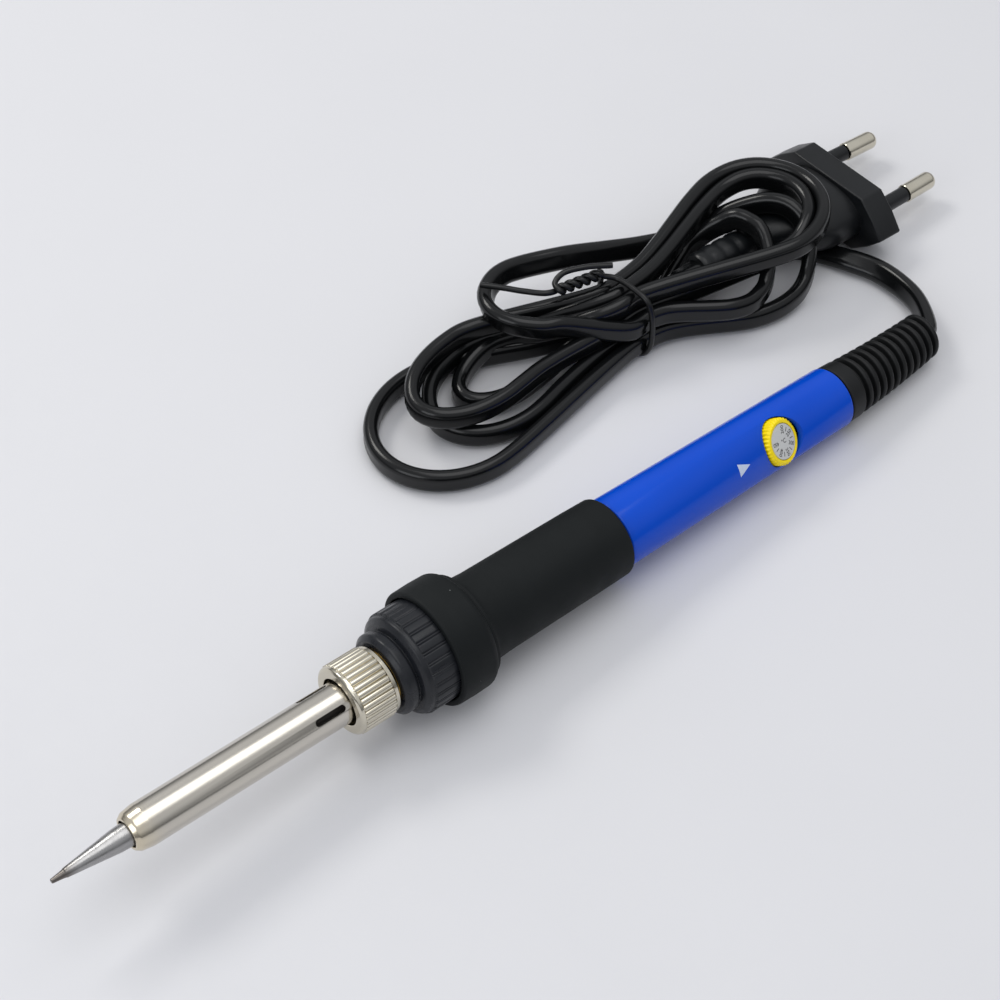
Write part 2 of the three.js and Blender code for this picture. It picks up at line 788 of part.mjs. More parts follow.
/** The plug with its pins and sleeves, with its face at the group's origin. */
function plugPieces() {
  const group = new THREE.Group();
  let body = plugBodySolid();
  const sides = [1, -1];
  const names = ['left', 'right'];
  sides.forEach((side) => {
    const hole = rodAlongX(pinCoreRadius + touchGap, pinRoot + 1, -pinRoot - touchGap);
    const seat = rodAlongX(pinSleeveRadius + touchGap, sleeveSeat + 1, -sleeveSeat);
    body = body.subtract(solid(atPin(hole, side))).subtract(solid(atPin(seat, side)));
  });
  group.add(piece('plug_body', geometryOf(body), 'rubber'));
  sides.forEach((side, k) => {
    group.add(piece(`plug_pin_${names[k]}`, atPin(pinGeometry(), side), 'nickel'));
    group.add(piece(`pin_sleeve_${names[k]}`, atPin(sleeveGeometry(), side), 'rubber'));
  });
  placePlug(group);
  return group;
}

/** Lays a plug group on the floor on its front edge, with its tail raised by the lead. */
function placePlug(group) {
  const lift = (plugHeight / 2) * Math.cos(plugTilt) + 0.02;
  group.position.set(plugPlace.x, plugPlace.y, lift);
  group.rotation.y = plugTilt;
  group.updateMatrixWorld(true);
}

// ---------------------------------------------------------------- bundled lead
/** Outline of the hank, seen from above: two round lobes with the tied waist between them. */
function hankOutline() {
  const waist = waistWidth / 2;
  const { x: tieX, y: tieY } = tiePlace;
  const { x: leftX, y: leftY, r: leftR } = leftLobe;
  const { x: rightX, y: rightY, r: rightR } = rightLobe;
  const [low, high] = [tieY - waist, tieY + waist];
  const outline = new THREE.Shape();
  outline.moveTo(tieX, low);
  outline.bezierCurveTo(tieX - lobeEase, low, leftX + lobeEase, leftY - leftR, leftX, leftY - leftR);
  outline.absarc(leftX, leftY, leftR, -Math.PI / 2, Math.PI / 2, true);
  outline.bezierCurveTo(leftX + 2 * lobeEase, leftY + leftR, tieX - lobeEase / 2, high, tieX, high);
  outline.bezierCurveTo(tieX + lobeEase, high, rightX - lobeEase, rightY + rightR, rightX, rightY + rightR);
  outline.absarc(rightX, rightY, rightR, Math.PI / 2, -Math.PI / 2, true);
  outline.bezierCurveTo(rightX - lobeEase, rightY - rightR, tieX + lobeEase, low, tieX, low);
  return outline;
}

/** Extrudes an outline upwards between two heights. */
function slab(outline, from, to, curveSegments) {
  const settings = { depth: to - from, bevelEnabled: false, curveSegments };
  const geometry = new THREE.ExtrudeGeometry(outline, settings);
  geometry.translate(0, 0, from);
  return geometry;
}

/** The free stretch's route, which leaves the strain relief straight. */
function cordCurve(exit, beyond = []) {
  const straight = [exit[0] + 2.6, exit[1], exit[2]];
  return curveThrough([exit, straight, ...cordRoute, ...beyond]);
}

/** One solid of the hank's outer shape, clear of the plug, the tie and the free stretch. */
function hankGeometry(exit) {
  let body = solid(slab(hankOutline(), 0, hankHeight, 10));
  const over = new THREE.Shape();
  over.absarc(lobeOverPlug.x, lobeOverPlug.y, lobeOverPlug.r, 0, 2 * Math.PI, false);
  body = body.add(solid(slab(over, hankHeight - 2, hankOverPlug, 14)));
  const plug = new THREE.Group();
  placePlug(plug);
  const envelope = geometryOf(plugBodySolid(touchGap));
  envelope.applyMatrix4(plug.matrixWorld);
  body = body.subtract(solid(envelope));
  const reach = cordRoute[cordRoute.length - 1];
  const before = cordRoute[cordRoute.length - 2];
  const end = new THREE.Vector3(...reach);
  const direction = end.clone().sub(new THREE.Vector3(...before)).normalize();
  const beyond = end.clone().addScaledVector(direction, touchGap).toArray();
  const way = cordCurve(exit, [beyond]);
  body = body.subtract(solid(tubeAlong(way, cordWidth / 2 + touchGap, 24)));
  return geometryOf(body.subtract(tieChannel()));
}

const tieRoom = 2 * tieRadius + 2 * touchGap;

/** Channel round the waist that the tie lies in. */
function tieChannel() {
  const half = tieRoom / 2;
  const far = waistWidth;
  const { x, y } = tiePlace;
  const depth = tieRoom + tieRadius;
  const core = waistWidth / 2 - depth;
  const outer = block([x - half, y - far, -1], [x + half, y + far, hankHeight + 1]);
  const inner = block([x - 2, y - core, depth], [x + 2, y + core, hankHeight - depth]);
  return solid(outer).subtract(solid(inner));
}

/** Rounded rectangle about the origin, as a shape or as a hole. */
function roundedRectangle(outline, halfWidth, halfHeight, corner) {
  const [right, top] = [halfWidth - corner, halfHeight - corner];
  outline.absarc(right, top, corner, 0, Math.PI / 2, false);
  outline.absarc(-right, top, corner, Math.PI / 2, Math.PI, false);
  outline.absarc(-right, -top, corner, Math.PI, 1.5 * Math.PI, false);
  outline.absarc(right, -top, corner, 1.5 * Math.PI, 2 * Math.PI, false);
  outline.closePath();
  return outline;
}

/** Band that lies in the channel round the waist. */
function tieLoop() {
  const { x, y } = tiePlace;
  const halfWidth = waistWidth / 2 - touchGap;
  const halfHeight = hankHeight / 2 - touchGap;
  const outline = roundedRectangle(new THREE.Shape(), halfWidth, halfHeight, 2);
  const thick = 2 * tieRadius;
  outline.holes.push(roundedRectangle(new THREE.Path(), halfWidth - thick, halfHeight - thick, 0.8));
  const settings = { depth: thick, bevelEnabled: false, curveSegments: 5 };
  const band = new THREE.ExtrudeGeometry(outline, settings);
  band.rotateX(Math.PI / 2);
  band.rotateZ(Math.PI / 2);
  band.translate(x - tieRadius, y, hankHeight / 2);
  return solid(band);
}

/** Twist tie: a loop in the channel, a twisted knot above the hank and two loose ends. */
function tieGeometry() {
  const { x, y, z } = tiePlace;
  const placed = (route) => route.map(([along, across, up]) => [x + along, y + across, z + up]);
  const knot = placed(knotRoute);
  const edge = waistWidth / 2 - touchGap - tieRadius;
  const riserTop = placed([[-2.8, 4.7, 2.3]])[0];
  const riser = curveThrough([...placed([[0, edge - 2.2, -1], [0, edge - 1.8, 1]]), riserTop]);
  const ends = [longEndRoute, shortEndRoute].map((route) => curveThrough(placed(route)));
  const thin = [riser, ...ends].map((route) => solid(tubeAlong(route, tieRadius, 8, 6)));
  const twist = solid(tubeAlong(curveThrough(knot), tieRadius * 1.7, 8, 8));
  return geometryOf(thin.reduce((whole, part) => whole.add(part), tieLoop().add(twist)));
}

// ---------------------------------------------------------------- assembly
/** The knob, its dial and shaft, and the potentiometer, leaning on the iron's knob side. */
function controlPieces() {
  const group = new THREE.Group();
  group.position.x = knobStation;
  group.rotation.y = knobLean;
  group.add(piece('potentiometer', potGeometry(), 'component'));
  const shaft = turned([
    [shaftBottom, 0],
    [shaftBottom, shaftRadius],
    [shaftTop, shaftRadius],
    [shaftTop, 0],
  ], smallSides);
  group.add(piece('pot_shaft', upright(shaft), 'steel'));
  group.add(piece('temperature_knob', upright(knobGeometry()), 'yellowPlastic'));
  const dial = turned([
    [knobTop - dialThickness, 0],
    [knobTop - dialThickness, dialRadius],
    [knobTop, dialRadius],
    [knobTop, 0],
  ], roundSides);
  group.add(piece('knob_dial', upright(dial), 'dialFoil'));
  return group;
}

/** Every piece of the iron itself, along X with its tip at the origin. */
function ironPieces() {
  const iron = new THREE.Group();
  iron.add(piece('soldering_tip', tipGeometry(), 'plating'));
  iron.add(piece('barrel_tube', barrelGeometry(), 'steel'));
  iron.add(piece('barrel_nut', nutGeometry(), 'nickel'));
  const heater = rodAlongX(heaterRadius, heaterEnd - heaterStart, heaterStart, 16);
  iron.add(piece('heater_element', heater, 'ceramic'));
  iron.add(piece('heater_holder', holderGeometry(), 'ceramic'));
  iron.add(piece('threaded_ferrule', ferruleGeometry(), 'brass'));
  iron.add(piece('front_cap', capGeometry(), 'phenolic'));
  iron.add(piece('grip_sleeve', gripGeometry(), 'silicone'));
  iron.add(piece('strain_relief', reliefGeometry(), 'rubber'));
  const knobSide = new THREE.Group();
  knobSide.rotation.x = knobClock;
  knobSide.add(piece('handle_shell', handleGeometry(), 'bluePlastic'));
  knobSide.add(electronics());
  knobSide.add(heaterLeads());
  knobSide.add(leadInside());
  knobSide.add(controlPieces());
  iron.add(knobSide);
  return iron;
}

/** Lays the iron on its collar and its handle's rear rim, centred over the origin. */
function layDown(iron) {
  const collarRest = gripStart + collarLength - 1.1;
  const rimRest = handleEnd - 0.5;
  const drop = collarRadius - handleRearRadius;
  iron.rotation.y = Math.atan2(drop, rimRest - collarRest);
  iron.updateMatrixWorld(true);
  const box = new THREE.Box3().setFromObject(iron, true);
  const centre = box.getCenter(new THREE.Vector3());
  iron.position.set(-centre.x, -centre.y, -box.min.z);
  iron.updateMatrixWorld(true);
  return iron;
}

const group = new THREE.Group();
const iron = layDown(ironPieces());
group.add(iron);
const exitPlace = iron.localToWorld(new THREE.Vector3(reliefEnd + touchGap, 0, 0)).toArray();
group.add(piece('cord_free_run', tubeAlong(cordCurve(exitPlace), cordWidth / 2, 16), 'cordJacket'));
group.add(piece('cord_hank', hankGeometry(exitPlace), 'cordJacket'));
group.add(piece('cord_tie', tieGeometry(), 'rubber'));
group.add(plugPieces());

export default group;
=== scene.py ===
"""Mains soldering iron with a temperature knob, lying beside its tied lead and plug.

The iron's own pieces are shaped in millimetres along X from the tip, and the plug's behind its
face, and each shape is then laid in the shared frame. Anything in metres says so.
"""

from __future__ import annotations

import json
import logging
import math
from dataclasses import dataclass
from enum import Enum
from typing import Callable, Iterable, Optional, Sequence

import bmesh
import bpy
from mathutils import Matrix, Vector

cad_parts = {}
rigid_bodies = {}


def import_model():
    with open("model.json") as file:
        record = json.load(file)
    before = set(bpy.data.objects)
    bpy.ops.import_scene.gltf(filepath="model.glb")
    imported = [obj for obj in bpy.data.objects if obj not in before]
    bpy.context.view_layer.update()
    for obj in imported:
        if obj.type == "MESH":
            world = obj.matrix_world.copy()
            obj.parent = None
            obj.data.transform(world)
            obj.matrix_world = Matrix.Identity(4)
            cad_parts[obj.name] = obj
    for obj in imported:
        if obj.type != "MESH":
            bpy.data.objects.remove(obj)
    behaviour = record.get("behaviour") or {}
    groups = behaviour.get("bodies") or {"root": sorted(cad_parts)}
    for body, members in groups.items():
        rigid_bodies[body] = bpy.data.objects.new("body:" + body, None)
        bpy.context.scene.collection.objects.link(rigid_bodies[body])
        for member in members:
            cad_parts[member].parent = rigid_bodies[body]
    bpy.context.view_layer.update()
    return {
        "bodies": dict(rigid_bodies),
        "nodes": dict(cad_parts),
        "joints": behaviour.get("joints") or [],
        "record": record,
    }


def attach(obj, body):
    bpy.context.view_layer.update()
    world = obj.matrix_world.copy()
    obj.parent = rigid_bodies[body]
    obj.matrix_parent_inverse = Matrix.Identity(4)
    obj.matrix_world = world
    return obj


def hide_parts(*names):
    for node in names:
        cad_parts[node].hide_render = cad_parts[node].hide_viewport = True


LOG = logging.getLogger("soldering_iron")
MM = 0.001
TAU = 2 * math.pi
NUT_JOINT_STATION = 64.0
KNOB_JOINT_HEIGHT = 6.8
Point = tuple[float, float]
Corner = tuple[float, float, float]
RoutePoint = tuple[float, float, float, float]


class Body(Enum):
    """The CAD bodies that pieces ride on."""

    IRON = "iron"
    BARREL = "barrel"
    NUT = "nut"
    KNOB = "knob"


# ---------------------------------------------------------------- finishes
def linear(colour: str) -> RoutePoint:
    """Turns an sRGB hex colour to linear.

    Args:
        colour: Six hex digits with a leading hash.

    Returns:
        Linear red, green and blue, and an alpha of one.
    """
    parts = [int(colour[k : k + 2], 16) / 255 for k in (1, 3, 5)]
    bright = [c / 12.92 if c <= 0.04045 else ((c + 0.055) / 1.055) ** 2.4 for c in parts]
    return (bright[0], bright[1], bright[2], 1.0)


def grow(tree: bpy.types.NodeTree, kind: str, settings: Optional[dict] = None, **inputs: object):
    """Adds a node with its settings and links.

    Args:
        tree: The node tree to add to.
        kind: The node's type name.
        settings: Attributes of the node.
        **inputs: Values or output sockets by input name, with spaces as underscores, or i0, i1.

    Returns:
        The new node.
    """
    node = tree.nodes.new(kind)
    for key, value in (settings or {}).items():
        setattr(node, key, value)
    for key, value in inputs.items():
        numbered = key[0] == "i" and key[1:].isdigit()
        socket = node.inputs[int(key[1:])] if numbered else node.inputs[key.replace("_", " ")]
        if isinstance(value, bpy.types.NodeSocket):
            tree.links.new(value, socket)
        else:
            socket.default_value = value
    return node


@dataclass(frozen=True)
class Finish:
    """A surface: its even values, and the drift, smudges and grain that break them up.

    Sizes are the real ones in millimetres. lean turns the pattern to the iron's slope.
    """

    name: str
    base: str
    drift: str
    roughness: float
    metallic: float = 0.0
    ior: float = 1.5
    shine: float = 0.5
    drift_mm: float = 9.0
    drift_share: float = 0.5
    smudge_mm: float = 6.0
    smudge: float = 0.06
    grain_mm: float = 0.3
    grain_depth: float = 0.01
    stretch: Corner = (1.0, 1.0, 1.0)
    lean: float = 0.0

    def place(self, tree: bpy.types.NodeTree) -> bpy.types.NodeSocket:
        """Gives millimetre coordinates, turned and stretched for the pattern."""
        spot = grow(tree, "ShaderNodeTexCoord").outputs["Object"]
        scale = [1000 * k for k in self.stretch]
        turn = (0.0, self.lean, 0.0)
        return grow(tree, "ShaderNodeMapping", None, Vector=spot, Rotation=turn, Scale=scale).outputs[0]

    def tint(self, tree: bpy.types.NodeTree, place: bpy.types.NodeSocket) -> bpy.types.NodeSocket:
        """Gives the colour over the surface."""
        patch = grow(tree, "ShaderNodeTexNoise", None, Vector=place, Scale=1 / self.drift_mm, Detail=4.0)
        share = grow(tree, "ShaderNodeMapRange", None, Value=patch.outputs[0], From_Min=0.3, From_Max=0.7,
                     To_Min=0.0, To_Max=self.drift_share)
        mix = grow(tree, "ShaderNodeMix", {"data_type": "RGBA"}, i0=share.outputs[0],
                   i6=linear(self.base), i7=linear(self.drift))
        return mix.outputs[2]

    def gloss(self, tree: bpy.types.NodeTree, place: bpy.types.NodeSocket) -> bpy.types.NodeSocket:
        """Gives the roughness over the surface, with its smudges."""
        patch = grow(tree, "ShaderNodeTexNoise", None, Vector=place, Scale=1 / self.smudge_mm, Detail=6.0,
                     Roughness=0.6)
        low, high = self.roughness - self.smudge, self.roughness + self.smudge
        return grow(tree, "ShaderNodeMapRange", None, Value=patch.outputs[0], From_Min=0.3, From_Max=0.7,
                    To_Min=max(low, 0.02), To_Max=high).outputs[0]

    def relief(self, tree: bpy.types.NodeTree, place: bpy.types.NodeSocket) -> bpy.types.NodeSocket:
        """Gives the fine height over the surface, from 0 to 1."""
        return grow(tree, "ShaderNodeTexNoise", None, Vector=place, Scale=1 / self.grain_mm,
                    Detail=3.0).outputs[0]

    def make(self) -> bpy.types.Material:
        """Builds the material, or finds the one already made."""
        ready = bpy.data.materials.get(self.name)
        if ready:
            return ready
        material = bpy.data.materials.new(self.name)
        material.use_nodes = True
        tree = material.node_tree
        tree.nodes.clear()
        place = self.place(tree)
        bump = grow(tree, "ShaderNodeBump", None, Height=self.relief(tree, place),
                    Distance=self.grain_depth * MM, Strength=1.0)
        even = {} if self.metallic else {"IOR": self.ior}
        shader = grow(tree, "ShaderNodeBsdfPrincipled", None, Base_Color=self.tint(tree, place),
                      Roughness=self.gloss(tree, place), Normal=bump.outputs[0], Metallic=self.metallic,
                      Specular_IOR_Level=self.shine, **even)
        grow(tree, "ShaderNodeOutputMaterial", None, Surface=shader.outputs[0])
        return material


@dataclass(frozen=True)
class DrawnMetal(Finish):
    """Metal with fine lines along its draw or round its turning, and a tint near its hot end.

    hot and cool are the stations along X, in millimetres, that the tint runs between.
    """

    hot: float = 0.0
    cool: float = 0.0
    heat: str = "#c8b08a"

    def tint(self, tree: bpy.types.NodeTree, place: bpy.types.NodeSocket) -> bpy.types.NodeSocket:
        """Gives the metal's colour, drifting to the heat tint at the hot end."""
        plain = super().tint(tree, place)
        if self.hot == self.cool:
            return plain
        spot = grow(tree, "ShaderNodeTexCoord").outputs["Object"]
        along = grow(tree, "ShaderNodeSeparateXYZ", None, Vector=spot).outputs[0]
        share = grow(tree, "ShaderNodeMapRange", {"interpolation_type": "SMOOTHSTEP"}, Value=along,
                     From_Min=self.hot * MM, From_Max=self.cool * MM, To_Min=1.0, To_Max=0.0)
        mix = grow(tree, "ShaderNodeMix", {"data_type": "RGBA"}, i0=share.outputs[0], i6=plain,
                   i7=linear(self.heat))
        return mix.outputs[2]


@dataclass(frozen=True)
class DustyRubber(Finish):
    """Matt moulded rubber that holds pale dust, a few specks to the square centimetre."""

    speck_mm: float = 3.2
    speck_size: float = 0.035
    dust: str = "#8f9292"

    def tint(self, tree: bpy.types.NodeTree, place: bpy.types.NodeSocket) -> bpy.types.NodeSocket:
        """Gives the rubber's colour with its specks."""
        plain = super().tint(tree, place)
        cells = grow(tree, "ShaderNodeTexVoronoi", None, Vector=place, Scale=1 / self.speck_mm)
        keep = grow(tree, "ShaderNodeSeparateColor", None, Color=cells.outputs["Color"]).outputs[0]
        size = grow(tree, "ShaderNodeMath", {"operation": "MULTIPLY"}, i0=keep, i1=self.speck_size)
        speck = grow(tree, "ShaderNodeMath", {"operation": "LESS_THAN"}, i0=cells.outputs["Distance"],
                     i1=size.outputs[0])
        mix = grow(tree, "ShaderNodeMix", {"data_type": "RGBA"}, i0=speck.outputs[0], i6=plain,
                   i7=linear(self.dust))
        return mix.outputs[2]


@dataclass(frozen=True)
class ExtrudedVinyl(Finish):
    """Lead jacket: die lines run along it, so its pattern follows its own UV map.

    U is the way round the jacket and V the way along it, both in millimetres.
    """

    def place(self, tree: bpy.types.NodeTree) -> bpy.types.NodeSocket:
        """Gives the jacket's own coordinates, drawn out along it."""
        spot = grow(tree, "ShaderNodeTexCoord").outputs["UV"]
        return grow(tree, "ShaderNodeMapping", None, Vector=spot, Scale=self.stretch).outputs[0]


IRON_LEAN = math.radians(3.06)
# Iron-plated copper, tinned at its point: a soft grey satin that ends duller and darker.
TINNED_COPPER = DrawnMetal("iron_plated_copper_satin", "#a8a7a6", "#8b8a8a", 0.3, 1.0, grain_mm=0.12,
    grain_depth=0.012, stretch=(1.0, 0.3, 0.3), lean=IRON_LEAN, smudge=0.08, smudge_mm=1.6, hot=-103.0,
    cool=-99.5, heat="#6e6965")
# Drawn stainless tube: lines along it stretch its highlights, and heat leaves straw near the nose.
STAINLESS = DrawnMetal("stainless_tube_polished", "#cdc8bf", "#bfb9ac", 0.2, 1.0, grain_mm=0.16,
    grain_depth=0.003, stretch=(0.04, 1.0, 1.0), lean=IRON_LEAN, smudge=0.05, hot=-92.0, cool=-84.0,
    heat="#d9cdb4")
# Nickel plate on brass: bright and a little warm, with a haze from its polish.
NICKEL = DrawnMetal("nickel_plate_on_brass", "#d6d0c0", "#c9c1ae", 0.17, 1.0, grain_mm=0.4,
    grain_depth=0.003, smudge=0.05, smudge_mm=2.0)
# Moulded phenolic: dark satin with broad highlights and faint flow lines.
PHENOLIC = Finish("phenolic_moulded_satin", "#1a1c20", "#23252a", 0.32, shine=0.3, smudge=0.09,
    smudge_mm=1.2, grain_mm=0.18, grain_depth=0.006, stretch=(0.25, 1.0, 1.0), lean=IRON_LEAN,
    drift_mm=2.0)
# Moulded silicone: dead matt and near black, so that its dust shows.
SILICONE = DustyRubber("silicone_sleeve_matt", "#131617", "#181b1c", 0.6, shine=0.16, grain_mm=0.14,
    grain_depth=0.012, smudge=0.06)
# Gloss-moulded nylon: a deep even blue, with a slow waviness in its highlights.
BLUE_NYLON = Finish("nylon_shell_gloss_blue", "#004ac8", "#0044bc", 0.18, shine=0.22, ior=1.53,
    grain_mm=2.6, grain_depth=0.006, smudge=0.04, smudge_mm=14.0, drift_mm=20.0)
# Moulded ABS: a strong even yellow with a half gloss.
YELLOW_ABS = Finish("abs_knob_yellow", "#fbe000", "#f6d800", 0.32, shine=0.35, ior=1.53, grain_mm=0.2,
    grain_depth=0.004, drift_mm=3.0)
# Polyester foil: flat pale grey with a soft sheen.
DIAL_FOIL = Finish("polyester_dial_foil", "#cbcccb", "#c3c4c3", 0.45, grain_mm=0.1, grain_depth=0.002,
    smudge_mm=1.5)
# Screen ink: thin and matt, a little short of black.
SCALE_INK = Finish("screen_ink_black", "#232323", "#2d2d2d", 0.55, grain_mm=0.1, drift_mm=0.5)
# Pad-printed white: so thin that the blue cools it.
PAD_PRINT = Finish("pad_print_white", "#c9d4ea", "#bccae6", 0.5, grain_mm=0.12, grain_depth=0.004,
    drift_mm=0.6)
# Moulded rubber: glossier than the sleeve, duller than the lead, with some dust.
BLACK_RUBBER = DustyRubber("moulded_rubber_relief", "#131415", "#18191a", 0.48, shine=0.25, grain_mm=0.16,
    grain_depth=0.01, speck_mm=2.6, smudge=0.07)
# Extruded vinyl: wet-looking black, with thin highlights drawn out along its die lines.
JACKET = ExtrudedVinyl("vinyl_jacket_extruded", "#0c0d0e", "#111213", 0.19, shine=0.3, ior=1.53,
    grain_mm=0.25, grain_depth=0.004, stretch=(1.0, 0.05, 1.0), smudge=0.06, smudge_mm=2.0)
# Vinyl from an eroded mould: a fine texture makes it softer than the lead.
PLUG_VINYL = Finish("vinyl_plug_moulded", "#101214", "#15171a", 0.36, shine=0.3, ior=1.53, grain_mm=0.2,
    grain_depth=0.012, smudge=0.07, smudge_mm=3.0)
# Vinyl-covered wire: plain black with a faint gloss.
TIE_VINYL = Finish("vinyl_tie_wire", "#0e0f10", "#131415", 0.3, shine=0.35, grain_mm=0.2,
    grain_depth=0.008)
# Alumina browned by its own heat, which keeps the vents dark.
HEATER = Finish("heater_ceramic_scorched", "#4a4541", "#37332f", 0.6, grain_mm=0.15, grain_depth=0.01)
# Fired alumina: chalky off-white.
CERAMIC = Finish("alumina_ceramic_fired", "#ebe7dd", "#dcd6c8", 0.6, grain_mm=0.15, grain_depth=0.01)
# Turned brass: warm yellow with fine rings.
BRASS = DrawnMetal("brass_thread_turned", "#c9a860", "#b99a54", 0.3, 1.0, grain_mm=0.2, grain_depth=0.006)
# Paper laminate: tan with mottled fibres.
LAMINATE = Finish("paper_laminate_board", "#b48c4a", "#a47d3e", 0.5, grain_mm=0.4, grain_depth=0.02)
# Epoxy case: matt black with a fine grain.
EPOXY = Finish("epoxy_case_black", "#1d1d1e", "#262627", 0.55, grain_mm=0.12, grain_depth=0.01)
# Ground steel: cool grey with short lines.
STEEL = DrawnMetal("ground_steel_shaft", "#b9b9b8", "#a6a6a5", 0.25, 1.0, grain_mm=0.1, grain_depth=0.003)
# Dipped epoxy: brick red, with a rippled gloss.
FILM_RED = Finish("dipped_epoxy_red", "#7a2c20", "#6d251b", 0.3, grain_mm=0.5, grain_depth=0.02)
# Resistor lacquer: tan and slightly lumpy.
LACQUER = Finish("resistor_lacquer_tan", "#b8996a", "#a98a5c", 0.4, grain_mm=0.3, grain_depth=0.01)
# Silicone wire sleeve: cream with a soft sheen.
WIRE_SLEEVE = Finish("silicone_wire_sleeve", "#d8d4c6", "#c9c5b6", 0.5, grain_mm=0.3, grain_depth=0.01)
# Paper sweep: pale and matt, with no edge to see.
SWEEP = Finish("paper_sweep", "#d6d6d9", "#d3d3d6", 0.62, grain_mm=0.7, grain_depth=0.01, drift_mm=60.0)


# ---------------------------------------------------------------- shaping
def rounded(corners: Sequence[Corner], steps: int = 5) -> list[Point]:
    """Rounds the corners of a closed outline.

    Args:
        corners: Station, radius and rounding of each corner, in millimetres.
        steps: Points on each rounded corner.

    Returns:
        The outline's points.
    """
    points: list[Point] = []
    count = len(corners)
    for k, (x, y, rounding) in enumerate(corners):
        here = Vector((x, y))
        back = Vector(corners[k - 1][:2]) - here
        on = Vector(corners[(k + 1) % count][:2]) - here
        if rounding <= 0:
            points.append((x, y))
            continue
        half = back.angle(on) / 2
        reach = min(rounding / math.tan(half), 0.48 * back.length, 0.48 * on.length)
        first, last = here + back.normalized() * reach, here + on.normalized() * reach
        for n in range(steps + 1):
            t = n / steps
            spot = first * (1 - t) ** 2 + here * (2 * t * (1 - t)) + last * t**2
            points.append((spot.x, spot.y))
    return points


def smooth_line(points: Sequence[Sequence[float]], step: float) -> list[Vector]:
    """Runs a smooth line through points and divides it evenly.

    Args:
        points: The points that the line passes, of any dimension.
        step: Distance between the new points.

    Returns:
        Evenly spaced points, with the first and last ones kept.
    """
    known = [Vector(p) for p in points]
    known = [2 * known[0] - known[1], *known, 2 * known[-1] - known[-2]]
    fine: list[Vector] = []
    for a, b, c, d in zip(known, known[1:], known[2:], known[3:]):
        gaps = [max((q.xyz - p.xyz).length, 1e-6) ** 0.5 for p, q in ((a, b), (b, c), (c, d))]
        t1 = gaps[0]
        t2 = t1 + gaps[1]
        t3 = t2 + gaps[2]
        for n in range(24):
            t = t1 + (t2 - t1) * n / 24
            p1 = a * ((t1 - t) / t1) + b * (t / t1)
            p2 = b * ((t2 - t) / (t2 - t1)) + c * ((t - t1) / (t2 - t1))
            p3 = c * ((t3 - t) / (t3 - t2)) + d * ((t - t2) / (t3 - t2))
            q1 = p1 * ((t2 - t) / t2) + p2 * (t / t2)
            q2 = p2 * ((t3 - t) / (t3 - t1)) + p3 * ((t - t1) / (t3 - t1))
            fine.append(q1 * ((t2 - t) / (t2 - t1)) + q2 * ((t - t1) / (t2 - t1)))
    fine.append(known[-2])
    lengths = [0.0]
    for p, q in zip(fine, fine[1:]):
        lengths.append(lengths[-1] + (q.xyz - p.xyz).length)
    count = max(2, round(lengths[-1] / step))
    even: list[Vector] = []
    k = 0
    for n in range(count + 1):
        goal = lengths[-1] * n / count
        while k < len(fine) - 2 and lengths[k + 1] < goal:
            k += 1
        span = max(lengths[k + 1] - lengths[k], 1e-9)
        even.append(fine[k].lerp(fine[k + 1], (goal - lengths[k]) / span))
    return even


